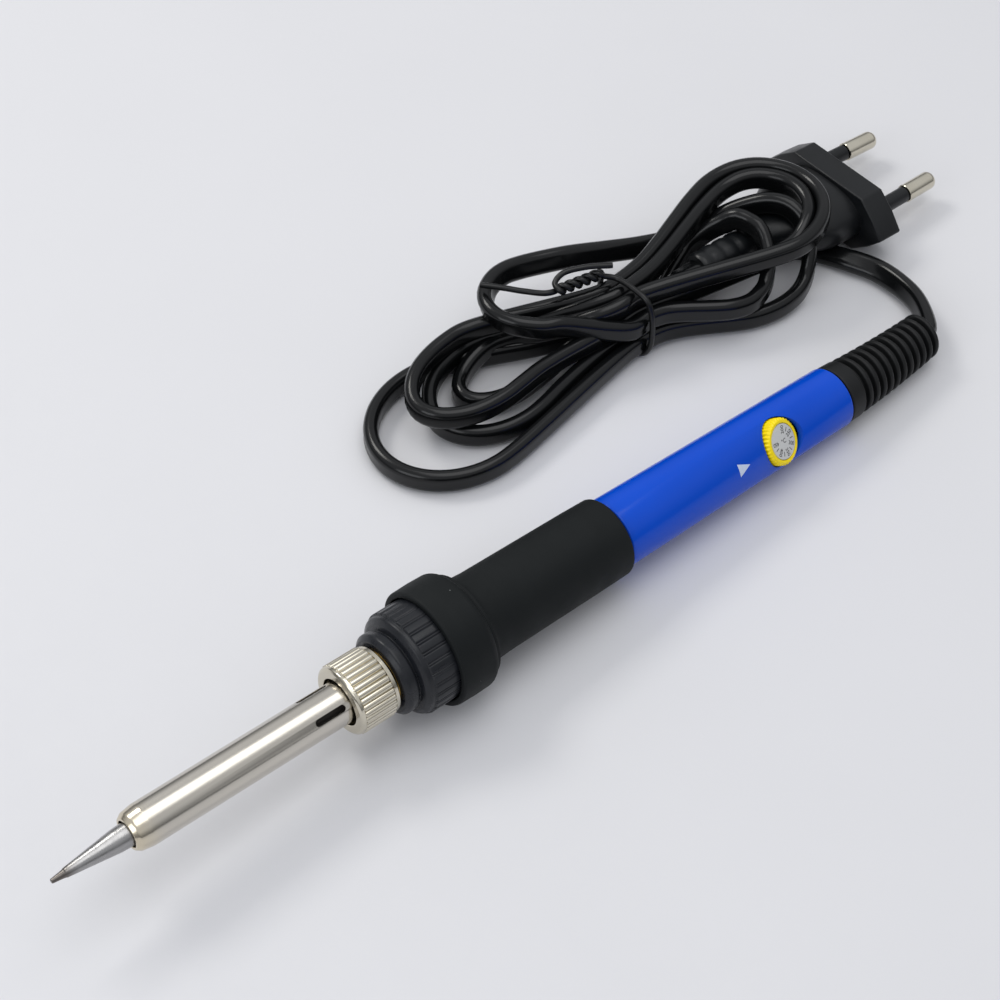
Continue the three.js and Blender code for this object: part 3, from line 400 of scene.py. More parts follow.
class Blank:
    """A mesh being shaped, in millimetres."""

    def __init__(self) -> None:
        self.mesh = bmesh.new()

    def turn(self, outline: Sequence[Point], sides: int = 96) -> "Blank":
        """Spins a closed outline of station and radius about the X axis."""
        verts = [self.mesh.verts.new((s, r, 0.0)) for s, r in outline]
        edges = [self.mesh.edges.new((a, b)) for a, b in zip(verts, verts[1:] + verts[:1])
                 if a.co.y + b.co.y > 0]
        bmesh.ops.spin(self.mesh, geom=verts + edges, axis=(1, 0, 0), cent=(0, 0, 0), angle=TAU,
                       steps=sides, use_merge=True)
        bmesh.ops.remove_doubles(self.mesh, verts=self.mesh.verts, dist=1e-4)
        return self.outward()

    def prism(self, outline: Sequence[Point], low: float, high: float) -> "Blank":
        """Extrudes a closed outline of Y and Z along X between two stations."""
        verts = [self.mesh.verts.new((low, y, z)) for y, z in outline]
        face = self.mesh.faces.new(verts)
        grown = bmesh.ops.extrude_face_region(self.mesh, geom=[face])["geom"]
        moved = [v for v in grown if isinstance(v, bmesh.types.BMVert)]
        bmesh.ops.translate(self.mesh, verts=moved, vec=(high - low, 0, 0))
        return self.outward()

    def sweep(self, path: Sequence[Vector], section: Sequence[Point], roll: Callable[[int], float],
              uv: bool = False) -> "Blank":
        """Draws a section along a path, with its first axis kept as level as the path lets it.

        Args:
            path: Points in millimetres.
            section: Points across the path, sideways and upwards.
            roll: Gives the turn of the section at each point, in radians.
            uv: Whether to lay a UV map in millimetres, round the section and along the path.

        Returns:
            The blank itself.
        """
        mesh = self.mesh
        count = len(section)
        ring = [mesh.verts.new((0.0, y, z)) for y, z in section]
        edges = [mesh.edges.new((a, b)) for a, b in zip(ring, ring[1:] + ring[:1])]
        rings = [ring]
        for _ in path[1:]:
            grown = bmesh.ops.extrude_edge_only(mesh, edges=edges)["geom"]
            match = {tuple(v.co): v for v in grown if isinstance(v, bmesh.types.BMVert)}
            ring = [match[tuple(v.co)] for v in ring]
            edges = [mesh.edges.get((a, b)) for a, b in zip(ring, ring[1:] + ring[:1])]
            rings.append(ring)
        for k, ring in enumerate(rings):
            on = (path[min(k + 1, len(path) - 1)].xyz - path[max(k - 1, 0)].xyz).normalized()
            side = Vector((0, 0, 1)).cross(on).normalized()
            turn = Matrix.Rotation(roll(k), 3, on)
            across, up = turn @ side, turn @ on.cross(side)
            for vert, (y, z) in zip(ring, section):
                vert.co = path[k].xyz + across * y + up * z
        for ring in (rings[0], rings[-1]):
            mesh.faces.new(ring)
        if uv:
            layer = mesh.loops.layers.uv.new("jacket")
            spot = {v: (n, k) for k, ring in enumerate(rings) for n, v in enumerate(ring)}
            gap = (path[1].xyz - path[0].xyz).length
            for face in mesh.faces:
                around = [spot[v][0] for v in face.verts]
                for loop in face.loops:
                    n, k = spot[loop.vert]
                    wrap = count if n == 0 and max(around) == count - 1 else 0
                    loop[layer].uv = ((n + wrap) * 14.0 / count, k * gap)
        return self.outward()

    def outward(self) -> "Blank":
        """Points the faces outwards."""
        bmesh.ops.recalc_face_normals(self.mesh, faces=self.mesh.faces)
        return self

    def press(self, way: Callable[[Vector], Vector]) -> "Blank":
        """Moves each vertex to where a function of its place sends it."""
        for vert in self.mesh.verts:
            vert.co = way(vert.co)
        return self

    def lay(self, place: Matrix) -> "Blank":
        """Turns and moves the blank, still in millimetres."""
        bmesh.ops.transform(self.mesh, matrix=place, verts=self.mesh.verts)
        return self

    def soften(self, width: float, segments: int = 2, over: float = 40.0) -> "Blank":
        """Bevels the edges that are sharper than an angle in degrees."""
        sharp = [e for e in self.mesh.edges if e.is_manifold and e.calc_face_angle() > math.radians(over)]
        bmesh.ops.bevel(self.mesh, geom=sharp, offset=width, offset_type="OFFSET", affect="EDGES",
                        segments=segments, profile=0.5, material=-1, clamp_overlap=True)
        return self

    def add(self, other: "Blank") -> "Blank":
        """Takes in another blank's mesh."""
        spare = bpy.data.meshes.new("spare")
        other.mesh.to_mesh(spare)
        self.mesh.from_mesh(spare)
        bpy.data.meshes.remove(spare)
        return self

    def piece(self, name: str, place: Matrix, sharp: float = 38.0) -> bpy.types.Object:
        """Makes the blank an object at the origin, with its place in its mesh.

        Args:
            name: The piece's name.
            place: Where it lies in the frame, in metres, from its own millimetres.
            sharp: Edges over this angle, in degrees, are shaded sharp.

        Returns:
            The new object.
        """
        bmesh.ops.transform(self.mesh, matrix=place @ Matrix.Scale(MM, 4), verts=self.mesh.verts)
        for face in self.mesh.faces:
            face.smooth = True
        shade(self.mesh, sharp)
        data = bpy.data.meshes.new(name)
        self.mesh.to_mesh(data)
        self.mesh.free()
        return put(name, data)


def put(name: str, data: bpy.types.ID) -> bpy.types.Object:
    """Makes an object of its data and puts it in the scene."""
    made = bpy.data.objects.new(name, data)
    bpy.context.scene.collection.objects.link(made)
    return made


def shade(mesh: bmesh.types.BMesh, sharp: float) -> None:
    """Marks the edges that are over an angle in degrees as sharp, and the rest as smooth."""
    for edge in mesh.edges:
        edge.smooth = not edge.is_manifold or edge.calc_face_angle(0.0) < math.radians(sharp)


def carve(made: bpy.types.Object, cutter: bpy.types.Object, edge_mm: float, sharp: float = 38.0) -> None:
    """Cuts one object out of another, softens the new edges and drops the cutter.

    Args:
        made: The piece that is cut.
        cutter: The object that is taken out of it.
        edge_mm: Width of the bevel along the cut.
        sharp: Edges over this angle, in degrees, are shaded sharp.
    """
    cut = made.modifiers.new("cut", "BOOLEAN")
    cut.operation, cut.solver, cut.object = "DIFFERENCE", "EXACT", cutter
    soft = made.modifiers.new("soft", "BEVEL")
    soft.width, soft.segments, soft.limit_method = edge_mm * MM, 2, "ANGLE"
    soft.angle_limit = math.radians(50)
    bpy.context.view_layer.update()
    solid = made.evaluated_get(bpy.context.evaluated_depsgraph_get())
    data = bpy.data.meshes.new_from_object(solid)
    made.modifiers.clear()
    made.data = data
    bpy.data.objects.remove(cutter)
    shaped = bmesh.new()
    shaped.from_mesh(data)
    shade(shaped, sharp)
    shaped.to_mesh(data)
    shaped.free()


def finish_piece(made: bpy.types.Object, finish: Finish, body: Body,
                 stands_for: Iterable[str] = ()) -> bpy.types.Object:
    """Dresses a piece, puts it on its body and hides the CAD nodes that it replaces.

    Args:
        made: The new object.
        finish: Its surface.
        body: The CAD body that it rides on.
        stands_for: CAD nodes that it replaces.

    Returns:
        The same object.
    """
    made.data.materials.clear()
    made.data.materials.append(finish.make())
    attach(made, body.value)
    names = list(stands_for)
    if names:
        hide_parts(*names)
    LOG.info("%s: %d faces on %s", made.name, len(made.data.polygons), body.value)
    return made


# ---------------------------------------------------------------- places
def joint_named(frame: dict, name: str) -> dict:
    """Finds one of the record's joints."""
    return next(j for j in frame["joints"] if j["name"] == name)


def axes(origin: Vector, along: Vector, beside: Vector) -> Matrix:
    """Makes a place from its origin, its X axis and the rough way of its Y axis."""
    x = along.normalized()
    z = x.cross(beside).normalized()
    y = z.cross(x)
    place = Matrix((x, y, z)).transposed().to_4x4()
    place.translation = origin
    return place


@dataclass(frozen=True)
class Places:
    """Where the iron's, the knob's and the plug's own axes lie in the frame, in metres."""

    iron: Matrix
    knob: Matrix
    plug: Matrix

    @classmethod
    def from_frame(cls, frame: dict) -> "Places":
        """Works the places out from the record's joints and its plug face.


        Returns:
            The three places.
        """
        nut = joint_named(frame, "nut_turn")
        along = -Vector(nut["axis"])
        tip = Vector(nut["pos_m"]) - along.normalized() * (NUT_JOINT_STATION * MM)
        iron = axes(tip, along, Vector((0, 1, 0)))
        turn = joint_named(frame, "knob_turn")
        out = Vector(turn["axis"]).normalized()
        knob = axes(Vector(turn["pos_m"]) - out * (KNOB_JOINT_HEIGHT * MM), out, along)
        face = next(m for m in frame["record"]["mounts"] if m["name"] == "plug_face")
        plug = axes(Vector(face["pos_m"]), Vector(face["axis"]), Vector((0, 1, 0)))
        return cls(iron, knob, plug)


# ---------------------------------------------------------------- studio
@dataclass
class Studio:
    """Pale floor, soft lights and the camera."""

    stand: Corner = (-0.17935, -0.20152, 0.34475)
    aim: Corner = (0.42303, 0.49952, -0.75599)
    lens: float = 83.77
    floor_reach: float = 3.0
    horizon: float = 0.22
    zenith: float = 0.78

    def set_camera(self) -> None:
        """Makes the camera and gives it to the scene."""
        data = bpy.data.cameras.new("camera")
        data.lens = self.lens
        data.sensor_width = 36
        data.clip_start = 0.01
        camera = put("camera", data)
        camera.location = self.stand
        camera.rotation_euler = Vector(self.aim).to_track_quat("-Z", "Y").to_euler()
        bpy.context.scene.camera = camera

    def set_light(self, name: str, stand: Sequence[float], size: Point, watts: float, warmth: str) -> None:
        """Hangs one soft panel that faces the middle of the object."""
        data = bpy.data.lights.new(name, "AREA")
        data.shape = "RECTANGLE"
        data.size, data.size_y = size
        data.energy = watts
        data.color = linear(warmth)[:3]
        lamp = put(name, data)
        lamp.location = stand
        toward = Vector((0.0, 0.02, 0.0)) - Vector(stand)
        lamp.rotation_euler = toward.to_track_quat("-Z", "Y").to_euler()

    def set_floor(self) -> None:
        """Lays the sweep that everything stands on."""
        sheet = bmesh.new()
        bmesh.ops.create_grid(sheet, x_segments=8, y_segments=8, size=self.floor_reach)
        data = bpy.data.meshes.new("floor")
        sheet.to_mesh(data)
        sheet.free()
        data.materials.append(SWEEP.make())
        put("floor", data)

    def build(self) -> None:
        """Sets the whole studio."""
        self.set_camera()
        self.set_floor()
        self.set_light("key_panel", (-0.1, 0.6, 0.66), (0.34, 0.24), 2.1, "#fffdf8")
        self.set_light("top_panel", (0.1, -0.05, 0.95), (0.8, 0.6), 2.6, "#ffffff")
        self.set_light("left_panel", (-0.75, -0.1, 0.42), (0.5, 0.4), 1.3, "#f8fbff")
        world = bpy.data.worlds.new("tent")
        world.use_nodes = True
        tree = world.node_tree
        tree.nodes.clear()
        way = grow(tree, "ShaderNodeTexCoord").outputs["Generated"]
        height = grow(tree, "ShaderNodeSeparateXYZ", None, Vector=way).outputs[2]
        level = grow(tree, "ShaderNodeMapRange", {"interpolation_type": "SMOOTHSTEP"}, Value=height,
                     From_Min=0.05, From_Max=0.6, To_Min=self.horizon, To_Max=self.zenith)
        sky = grow(tree, "ShaderNodeBackground", None, Color=linear("#eceef2"), Strength=level.outputs[0])
        grow(tree, "ShaderNodeOutputWorld", None, Surface=sky.outputs[0])
        bpy.context.scene.world = world
        bpy.context.scene.view_settings.view_transform = "Standard"
        LOG.info("studio set")


# ---------------------------------------------------------------- lead
def eased(values: Sequence[float], share: float) -> float:
    """Reads a smooth profile, given by evenly spaced values, at a share of its length."""
    spot = share * (len(values) - 1)
    k = min(int(spot), len(values) - 2)
    t = spot - k
    t = t * t * (3 - 2 * t)
    return values[k] * (1 - t) + values[k + 1] * t


@dataclass(frozen=True)
class Bight:
    """One rounded end of the hank: part of an oval, with its height and roll along it.

    middle and reach are the oval's middle and half lengths, slant turns it, and sweep is where the
    lead comes in and goes out, all seen from above. Roll 0 stands the flat lead on its edge.
    """

    middle: Point
    reach: Point
    slant: float
    sweep: Point
    heights: tuple[float, ...]
    rolls: tuple[float, ...] = (0.0, 0.0)
    points: int = 13

    def spot(self, share: float) -> Vector:
        """Gives the place and roll at a share of the bight."""
        angle = math.radians(self.sweep[0] + (self.sweep[1] - self.sweep[0]) * share)
        slant = math.radians(self.slant)
        u, v = self.reach[0] * math.cos(angle), self.reach[1] * math.sin(angle)
        x = self.middle[0] + u * math.cos(slant) - v * math.sin(slant)
        y = self.middle[1] + u * math.sin(slant) + v * math.cos(slant)
        return Vector((x, y, eased(self.heights, share), math.radians(eased(self.rolls, share))))

    def trace(self) -> list[Vector]:
        """Gives the bight's points, evenly round its oval."""
        return [self.spot(k / (self.points - 1)) for k in range(self.points)]


def bridge(start: Vector, way: Vector, end: Vector, arrival: Vector, count: int = 4) -> list[Vector]:
    """Gives points between two ends of the lead, leaving and arriving in the given ways."""
    pull = (end.xyz - start.xyz).length * 0.9
    made: list[Vector] = []
    for k in range(1, count + 1):
        t = k / (count + 1)
        h1, h2 = 2 * t**3 - 3 * t**2 + 1, t**3 - 2 * t**2 + t
        h3, h4 = 3 * t**2 - 2 * t**3, t**3 - t**2
        spot = start.xyz * h1 + way.normalized() * (h2 * pull)
        spot += end.xyz * h3 + arrival.normalized() * (h4 * pull)
        made.append(Vector((*spot, start.w * h1 + end.w * h3)))
    return made


@dataclass
class Lead:
    """The flat two-core lead: from the relief, under the plug, and through nine bights to the plug.

    route is the stretch before the hank, given as X, Y, Z and the roll in degrees.
    """

    width: float = 5.0
    thickness: float = 3.1
    waist: float = 61.0
    route: tuple[RoutePoint, ...] = (
        (107.6, 0.9, 4.7, 10), (110.6, 4.4, 4.4, 10), (113.9, 10.4, 3.6, 15), (115.2, 17.0, 2.9, 30),
        (114.9, 22.6, 2.6, 50), (113.1, 27.5, 2.5, 65), (110.9, 33.2, 1.9, 85),
        (107.2, 38.6, 1.6, 90), (102.2, 43.4, 1.7, 85), (95.8, 46.8, 2.3, 40),
        (87.5, 48.9, 2.7, 10), (76.0, 49.3, 3.0, 0),
    )
    slots: tuple[Point, ...] = (
        (47.4, 3.4), (37.9, 3.5), (38.0, 8.9), (41.1, 3.4), (44.2, 12.9), (41.1, 8.1), (47.3, 12.2),
        (41.1, 13.0), (44.3, 8.1),
    )
    tail: tuple[RoutePoint, ...] = ((70.0, 42.6, 9.4, 20), (76.0, 41.8, 10.4, 60))

    def bights(self) -> list[Bight]:
        """Gives the bights in the order that the lead runs through them."""
        return [
            Bight((18.7, 46.6), (17.6, 15.0), 0, (78, 280), (2.6, 2.6, 2.6, 2.6, 2.8)),
            Bight((88.0, 39.5), (17.0, 11.5), -25, (-85, 95),
                  (3.0, 3.1, 3.6, 5.5, 9.8, 14.4, 15.6, 15.2, 12.2, 9.4)),
            Bight((49.4, 54.0), (13.0, 9.6), -13, (82, 262), (12.6, 14.0, 14.3, 14.0, 13.0),
                  (30, 20, 15, 5, 0)),
            Bight((83.2, 39.0), (11.3, 10.3), 0, (-90, 85), (7.8, 8.2, 11.8, 15.0, 15.2, 11.6, 7.4)),
            Bight((30.6, 47.9), (15.0, 11.1), 3, (283, 77), (3.2, 2.9, 3.0, 4.2, 4.8)),
            Bight((97.6, 42.1), (11.0, 10.3), 0, (100, -95), (14.4, 15.6, 15.8, 15.4, 12.9)),
            Bight((28.0, 49.8), (16.1, 9.3), 3, (283, 75), (8.3, 8.0, 8.2, 9.3, 9.6)),
            Bight((97.6, 42.1), (14.1, 13.4), 0, (100, -100), (15.0, 15.8, 16.0, 16.4, 15.8)),
            Bight((34.5, 50.0), (10.6, 6.0), 0, (75, 285), (5.2, 3.0, 2.8, 3.0)),
        ]

    def line(self, exit_mm: Vector, tail_mm: Vector) -> list[Vector]:
        """Works out the lead's middle line.

        Args:
            exit_mm: Where it leaves the strain relief.
            tail_mm: Where it goes into the plug.

        Returns:
            Even points about 1.2 mm apart, with the roll as a fourth number.
        """
        points = [Vector((*exit_mm, math.radians(35)))]
        points += [Vector((x, y, z, math.radians(roll))) for x, y, z, roll in self.route]
        way = Vector((-1, 0, 0))
        slots = [Vector((self.waist, y, z, 0)) for y, z in self.slots]
        bights = self.bights()
        through = iter(slots)
        untied = 2
        for k, bight in enumerate(bights):
            trace = bight.trace()
            leaving = trace[0].xyz - bight.spot(-0.02).xyz
            if k != untied:
                slot = next(through)
                points += [slot - Vector((*(way * 2.5), 0)), slot + Vector((*(way * 2.5), 0))]
            turn = points[-1].xyz - points[-2].xyz
            points += bridge(points[-1], turn, trace[0], leaving) + trace
            way = -way
        last = next(through)
        turn = points[-1].xyz - points[-2].xyz
        points += bridge(points[-1], turn, last - Vector((2.5, 0, 0, 0)), Vector((1, 0, 0)))
        points += [last - Vector((2.5, 0, 0, 0)), last + Vector((2.5, 0, 0, 0))]
        points += [Vector((x, y, z, math.radians(roll))) for x, y, z, roll in self.tail]
        points.append(Vector((*tail_mm, math.radians(80))))
        return smooth_line(points, 1.2)

    def section(self) -> list[Point]:
        """Gives the flat lead's outline: two round sides with a slight waist between the cores."""
        half = self.thickness / 2
        side = (self.width - self.thickness) / 2
        points: list[Point] = []
        for start, lift in ((0, side), (math.pi, -side)):
            for k in range(8):
                angle = start + math.pi * k / 7
                points.append((half * math.cos(angle), lift + half * math.sin(angle)))
            dip = half - 0.16
            points.append((-dip if start == 0 else dip, 0.0))
        return points

    def build(self, places: Places) -> tuple[bpy.types.Object, list[Vector], float]:
        """Makes the lead.

        Args:
            places: The frame's places.

        Returns:
            The lead, its middle line in metres and its length in metres.
        """
        ends = places.iron @ (Vector((210.9, 1.1, 0)) * MM), places.plug @ (Vector((-41.0, 0, 0)) * MM)
        line = self.line(ends[0] * 1000, ends[1] * 1000)
        blank = Blank().sweep(line, self.section(), lambda k: line[k].w, uv=True)
        made = blank.piece("lead", Matrix.Identity(4), 60)
        path = [p.xyz * MM for p in line]
        length = sum((b - a).length for a, b in zip(path, path[1:]))
        finish_piece(made, JACKET, Body.IRON, ("cord_free_run", "cord_hank"))
        return made, path, length


@dataclass
class TwistTie:
    """Plastic-covered wire tie: one wire that goes round the waist and twists with itself.

    Points are in millimetres in the frame.
    """

    wire: float = 0.62
    twist_from: Corner = (58.6, 47.8, 17.6)
    twist_to: Corner = (48.6, 49.5, 17.9)
    turns: float = 2.6
    round_waist: tuple[Corner, ...] = (
        (60.6, 45.4, 16.9), (61.4, 41.2, 16.6), (61.8, 37.2, 15.6), (61.9, 35.7, 12.4), (61.9, 35.3, 8.0),
        (61.7, 35.7, 3.4), (61.4, 37.6, 0.75), (61.2, 42.4, 0.65), (61.0, 47.4, 0.8), (60.9, 49.7, 3.4),
        (60.8, 50.1, 8.0), (60.5, 49.8, 12.6), (60.0, 48.9, 15.9),
    )
    long_end: tuple[Corner, ...] = (
        (37.4, 60.7, 18.2), (40.6, 57.4, 17.8), (43.4, 54.0, 17.6), (46.4, 50.6, 17.7),
    )
    short_end: tuple[Corner, ...] = (
        (48.9, 50.9, 18.6), (51.2, 51.3, 19.6), (55.4, 49.6, 20.0), (60.6, 46.6, 19.6),
    )

    def helix(self, phase: float, back: bool) -> list[Vector]:
        """Gives one wire's points along the twist, from its waist end or back to it."""
        start, end = Vector(self.twist_from), Vector(self.twist_to)
        on = (end - start).normalized()
        side = Vector((0, 0, 1)).cross(on).normalized()
        points: list[Vector] = []
        for k in range(41):
            t = k / 40
            angle = phase + TAU * self.turns * t
            out = side * math.cos(angle) + on.cross(side) * math.sin(angle)
            points.append(start.lerp(end, t) + out * self.wire * 1.15)
        return points[::-1] if back else points

    def build(self) -> bpy.types.Object:
        """Makes the tie."""
        ends = [Vector(p) for p in self.long_end], [Vector(p) for p in self.short_end]
        waist = [Vector(p) for p in self.round_waist]
        route = ends[0] + self.helix(0.0, True) + waist + self.helix(math.pi, False) + ends[1]
        line = smooth_line(route, 0.35)
        angles = [TAU * k / 10 for k in range(10)]
        section = [(self.wire * math.cos(a), self.wire * math.sin(a)) for a in angles]
        made = Blank().sweep(line, section, lambda _: 0.0).piece("twist_tie", Matrix.Identity(4), 60)
        return finish_piece(made, TIE_VINYL, Body.IRON, ("cord_tie",))


# ---------------------------------------------------------------- plug
@dataclass
class Plug:
    """Flat two-pin plug: a six-cornered block, a rounded rear that tapers to a tail, and two pins."""

    half_width: float = 17.3
    half_height: float = 6.8
    half_top: float = 10.0
    kink: Point = (13.9, 3.7)
    block_depth: float = 6.4
    tail_length: float = 44.0
    pin_radius: float = 2.0
    pin_length: float = 19.0
    pin_gap: float = 18.6
    pin_lean: float = math.radians(1.6)
    sleeve_radius: float = 1.75
    sleeve_length: float = 9.7

    def section_at(self, behind: float) -> Point:
        """Gives the rear body's half width and half height at a distance behind the face."""
        t = min(max((behind - self.block_depth - 6) / 16.6, 0.0), 1.0)
        share = t * t * (3 - 2 * t)
        taper = min(max((behind - self.block_depth) / self.tail_length, 0.0), 1.0)
        wide = 11.2 + (3.8 - 11.2) * share - 0.5 * taper
        high = 5.9 + (3.4 - 5.9) * share - 0.5 * taper
        groove = 0.45 * max(0.0, math.cos((behind - 31) * TAU / 3.4)) ** 4 if 30 < behind < 42.5 else 0.0
        return wide - groove, high - groove

    def rear(self, spot: Vector) -> Vector:
        """Moves a point of a unit tube to the rear body, which is a little squared near the block."""
        wide, high = self.section_at(-spot.x)
        square = 0.82 if spot.x > -20 else 0.95
        y, z = spot.y, spot.z
        size = math.hypot(y, z)
        if size < 1e-6:
            return spot
        c, s = y / size, z / size
        y = math.copysign(abs(c) ** square, c) * wide * size
        z = math.copysign(abs(s) ** square, s) * high * size
        return Vector((spot.x, y, z))

    def body(self, places: Places) -> bpy.types.Object:
        """Makes the moulded body."""
        w, h, t, (kw, kh) = self.half_width, self.half_height, self.half_top, self.kink
        right = [(w, 0.0), (kw, kh), (t, h)]
        outline = right + [(-y, z) for y, z in reversed(right)]
        outline += [(-y, -z) for y, z in right[1:]] + [(y, -z) for y, z in reversed(right[1:])]
        front = Blank().prism(outline, -self.block_depth, 0.0).soften(0.45, 3, 15)
        seats = [(-self.tail_length, 0.0), (-self.tail_length, 0.86), (-self.tail_length + 0.5, 1.0)]
        count = 60
        for k in range(1, count):
            seats.append((-self.tail_length + 0.5 + (self.tail_length - 3.7) * k / count, 1.0))
        seats.append((-self.block_depth / 2, 0.0))
        rear = Blank().turn(seats, 56).press(self.rear)
        made = front.add(rear).piece("plug", places.plug, 42)
        return finish_piece(made, PLUG_VINYL, Body.IRON, ("plug_body",))

    def at_pin(self, side: int) -> Matrix:
        """Gives one pin's place before the plug's."""
        lean = Matrix.Rotation(-side * self.pin_lean, 4, "Z")
        return Matrix.Translation((0, side * self.pin_gap / 2, 0)) @ lean

    def pins(self, places: Places) -> list[bpy.types.Object]:
        """Makes both pins and their sleeves."""
        made: list[bpy.types.Object] = []
        r, end, start = self.pin_radius, self.pin_length, self.sleeve_length + 0.25
        angles = [math.pi / 24 * k for k in range(13)]
        dome = [(end - 1.7 + 1.7 * math.sin(a), r * math.cos(a)) for a in angles]
        pin = [(-6.0, 0.0), (-6.0, 1.1), (start, 1.1), (start, r - 0.12), (start + 0.14, r)] + dome
        sleeve = rounded([(-1.3, 1.4, 0), (-1.3, self.sleeve_radius, 0),
                          (self.sleeve_length, self.sleeve_radius, 0.2), (self.sleeve_length, 1.4, 0)])
        for side, word in ((1, "left"), (-1, "right")):
            post = Blank().turn(pin, 40).lay(self.at_pin(side)).piece(f"pin_{word}", places.plug)
            made.append(finish_piece(post, NICKEL, Body.IRON, (f"plug_pin_{word}",)))
            cover = Blank().turn(sleeve, 40).lay(self.at_pin(side)).piece(f"pin_cover_{word}", places.plug)
            made.append(finish_piece(cover, PLUG_VINYL, Body.IRON, (f"pin_sleeve_{word}",)))
        return made


# ---------------------------------------------------------------- working end
def notched(count: int, depth: float, low: float, high: float, outside: float,
            shape: Callable[[float], float]) -> Callable[[Vector], Vector]:
    """Makes a press that cuts equal notches round a stretch of a turned piece.

    Args:
        count: Notches round the piece.
        depth: Depth of a notch.
        low: First station of the stretch.
        high: Last station of the stretch.
        outside: Radius past which points are moved.
        shape: Gives the share of the depth at a share of the notches' pitch.

    Returns:
        The function that moves a point.
    """

    def way(spot: Vector) -> Vector:
        radius = math.hypot(spot.y, spot.z)
        if not low <= spot.x <= high or radius <= outside:
            return spot
        share = (math.atan2(spot.z, spot.y) / TAU * count) % 1.0
        scale = (radius - depth * shape(share)) / radius
        return Vector((spot.x, spot.y * scale, spot.z * scale))

    return way


@dataclass
class WorkingEnd:
    """The tip, its barrel tube, the fluted nut and the ferrule that the nut screws on."""

    tip_end: float = 0.55
    mouth: float = 2.2
    shank: float = 3.25
    tip_length: float = 42.0
    nose: float = 14.8
    tube: float = 4.05
    wall: float = 0.4
    nut_start: float = 59.4
    nut_end: float = 67.9
    nut_radius: float = 6.95
    flutes: int = 32
    vent: Corner = (52.0, 6.4, 1.4)
    vent_clock: float = 41.0

    def tip(self, places: Places) -> None:
        """Makes the slim conical tip, with its tinned end and its shoulder inside the tube."""
        outline = rounded([
            (0.0, 0.0, 0), (0.0, 0.42, 0.18), (1.9, 0.66, 0.1), (2.5, 0.78, 0.2), (2.75, 0.9, 0.1),
            (7.2, 1.44, 1.0), (12.6, 2.12, 0.6), (15.2, 2.25, 0.3), (17.4, 3.25, 0.4),
            (self.tip_length, self.shank, 0.3), (self.tip_length, 2.2, 0.2), (21.0, 2.2, 0.2), (19.6, 0.0, 0),
        ])
        made = Blank().turn(outline, 64).piece("tip", places.iron)
        finish_piece(made, TINNED_COPPER, Body.BARREL, ("soldering_tip",))

    def barrel(self, places: Places) -> None:
        """Makes the thin tube with its rolled nose, four vents and rear flange."""
        mouth, wall, r = self.mouth + 0.4, self.wall, self.tube
        flange, end = 63.1, 63.9
        outline = rounded([
            (self.nose, mouth, 0.15), (self.nose + 0.05, mouth + 0.5, 0.2), (self.nose + 0.9, r - 0.35, 1.1),
            (self.nose + 3.2, r, 1.6), (flange, r, 0.1), (flange, r + 1.35, 0.1), (end, r + 1.35, 0.1),
            (end, r - wall, 0.1), (self.nose + 3.4, r - wall, 1.4), (self.nose + 1.2, r - wall - 0.4, 0.8),
            (self.nose + 0.5, mouth, 0.1),
        ], 7)
        made = Blank().turn(outline, 96).piece("barrel", places.iron)
        start, length, width = self.vent
        ring = [(start + width / 2 + math.cos(a) * width / 2 + (length - width if math.cos(a) > 0 else 0),
                 math.sin(a) * width / 2) for a in (TAU * (k + 0.5) / 20 for k in range(20))]
        cutters = Blank()
        for k in range(4):
            clock = math.radians(self.vent_clock + 90 * k)
            bar = Blank().prism(ring, 1.5, 6.5)
            stand = Matrix(((0, 1, 0, 0), (0, 0, 1, 0), (1, 0, 0, 0), (0, 0, 0, 1)))
            cutters.add(bar.lay(Matrix.Rotation(math.pi / 2 - clock, 4, "X") @ stand))
        carve(made, cutters.outward().piece("vent_cutters", places.iron), 0.07)
        finish_piece(made, STAINLESS, Body.BARREL, ("barrel_tube",))

    def nut(self, places: Places) -> None:
        """Makes the nut: a plain front rim, straight flutes and a thin rear band."""
        a, b, r = self.nut_start, self.nut_end, self.nut_radius
        corners = [
            (a, 4.7, 0.15), (a, r - 0.75, 0.1), (a + 0.35, r - 0.28, 0.25), (a + 0.95, r - 0.22, 0.1),
            (a + 1.0, r, 0.1), (b - 1.0, r, 0.1), (b - 0.8, r - 0.3, 0.05), (b, r - 0.3, 0.12),
            (b, 5.75, 0.1), (a + 2.4, 5.75, 0.1), (a + 2.4, 4.7, 0.1),
        ]
        press = notched(self.flutes, 0.5, a + 0.9, b - 0.8, r - 0.5,
                        lambda t: 1 - abs(math.sin(math.pi * t)) ** 0.55)
        blank = Blank().turn(rounded(corners, 3), self.flutes * 12)
        made = blank.press(press).piece("nut", places.iron, 50)
        finish_piece(made, NICKEL, Body.NUT, ("barrel_nut",))

    def ferrule(self, places: Places) -> None:
        """Makes the brass ferrule with its thread's ridges and its moulded-in flange."""
        r, bore, flange = 5.4, 4.4, 6.9
        start, seat, back = 64.2, 74.0, 75.5
        corners: list[Corner] = [(start, bore, 0), (start, r - 0.3, 0)]
        ridges = 11
        for k in range(ridges):
            s = start + 0.3 + 0.85 * k
            corners += [(s, r - 0.28, 0.05), (s + 0.36, r, 0.05), (s + 0.48, r, 0.05),
                        (s + 0.84, r - 0.28, 0.05)]
        corners += [(seat, r - 0.28, 0), (seat, flange, 0.1), (back, flange, 0.1), (back, r, 0),
                    (back + 3.4, r, 0.2), (back + 3.4, bore, 0)]
        made = Blank().turn(rounded(corners, 2), 64).piece("ferrule", places.iron)
        finish_piece(made, BRASS, Body.IRON, ("threaded_ferrule",))

    def build(self, places: Places) -> None:
        """Makes the working end's pieces in order."""
        self.tip(places)
        self.barrel(places)
        self.nut(places)
        self.ferrule(places)


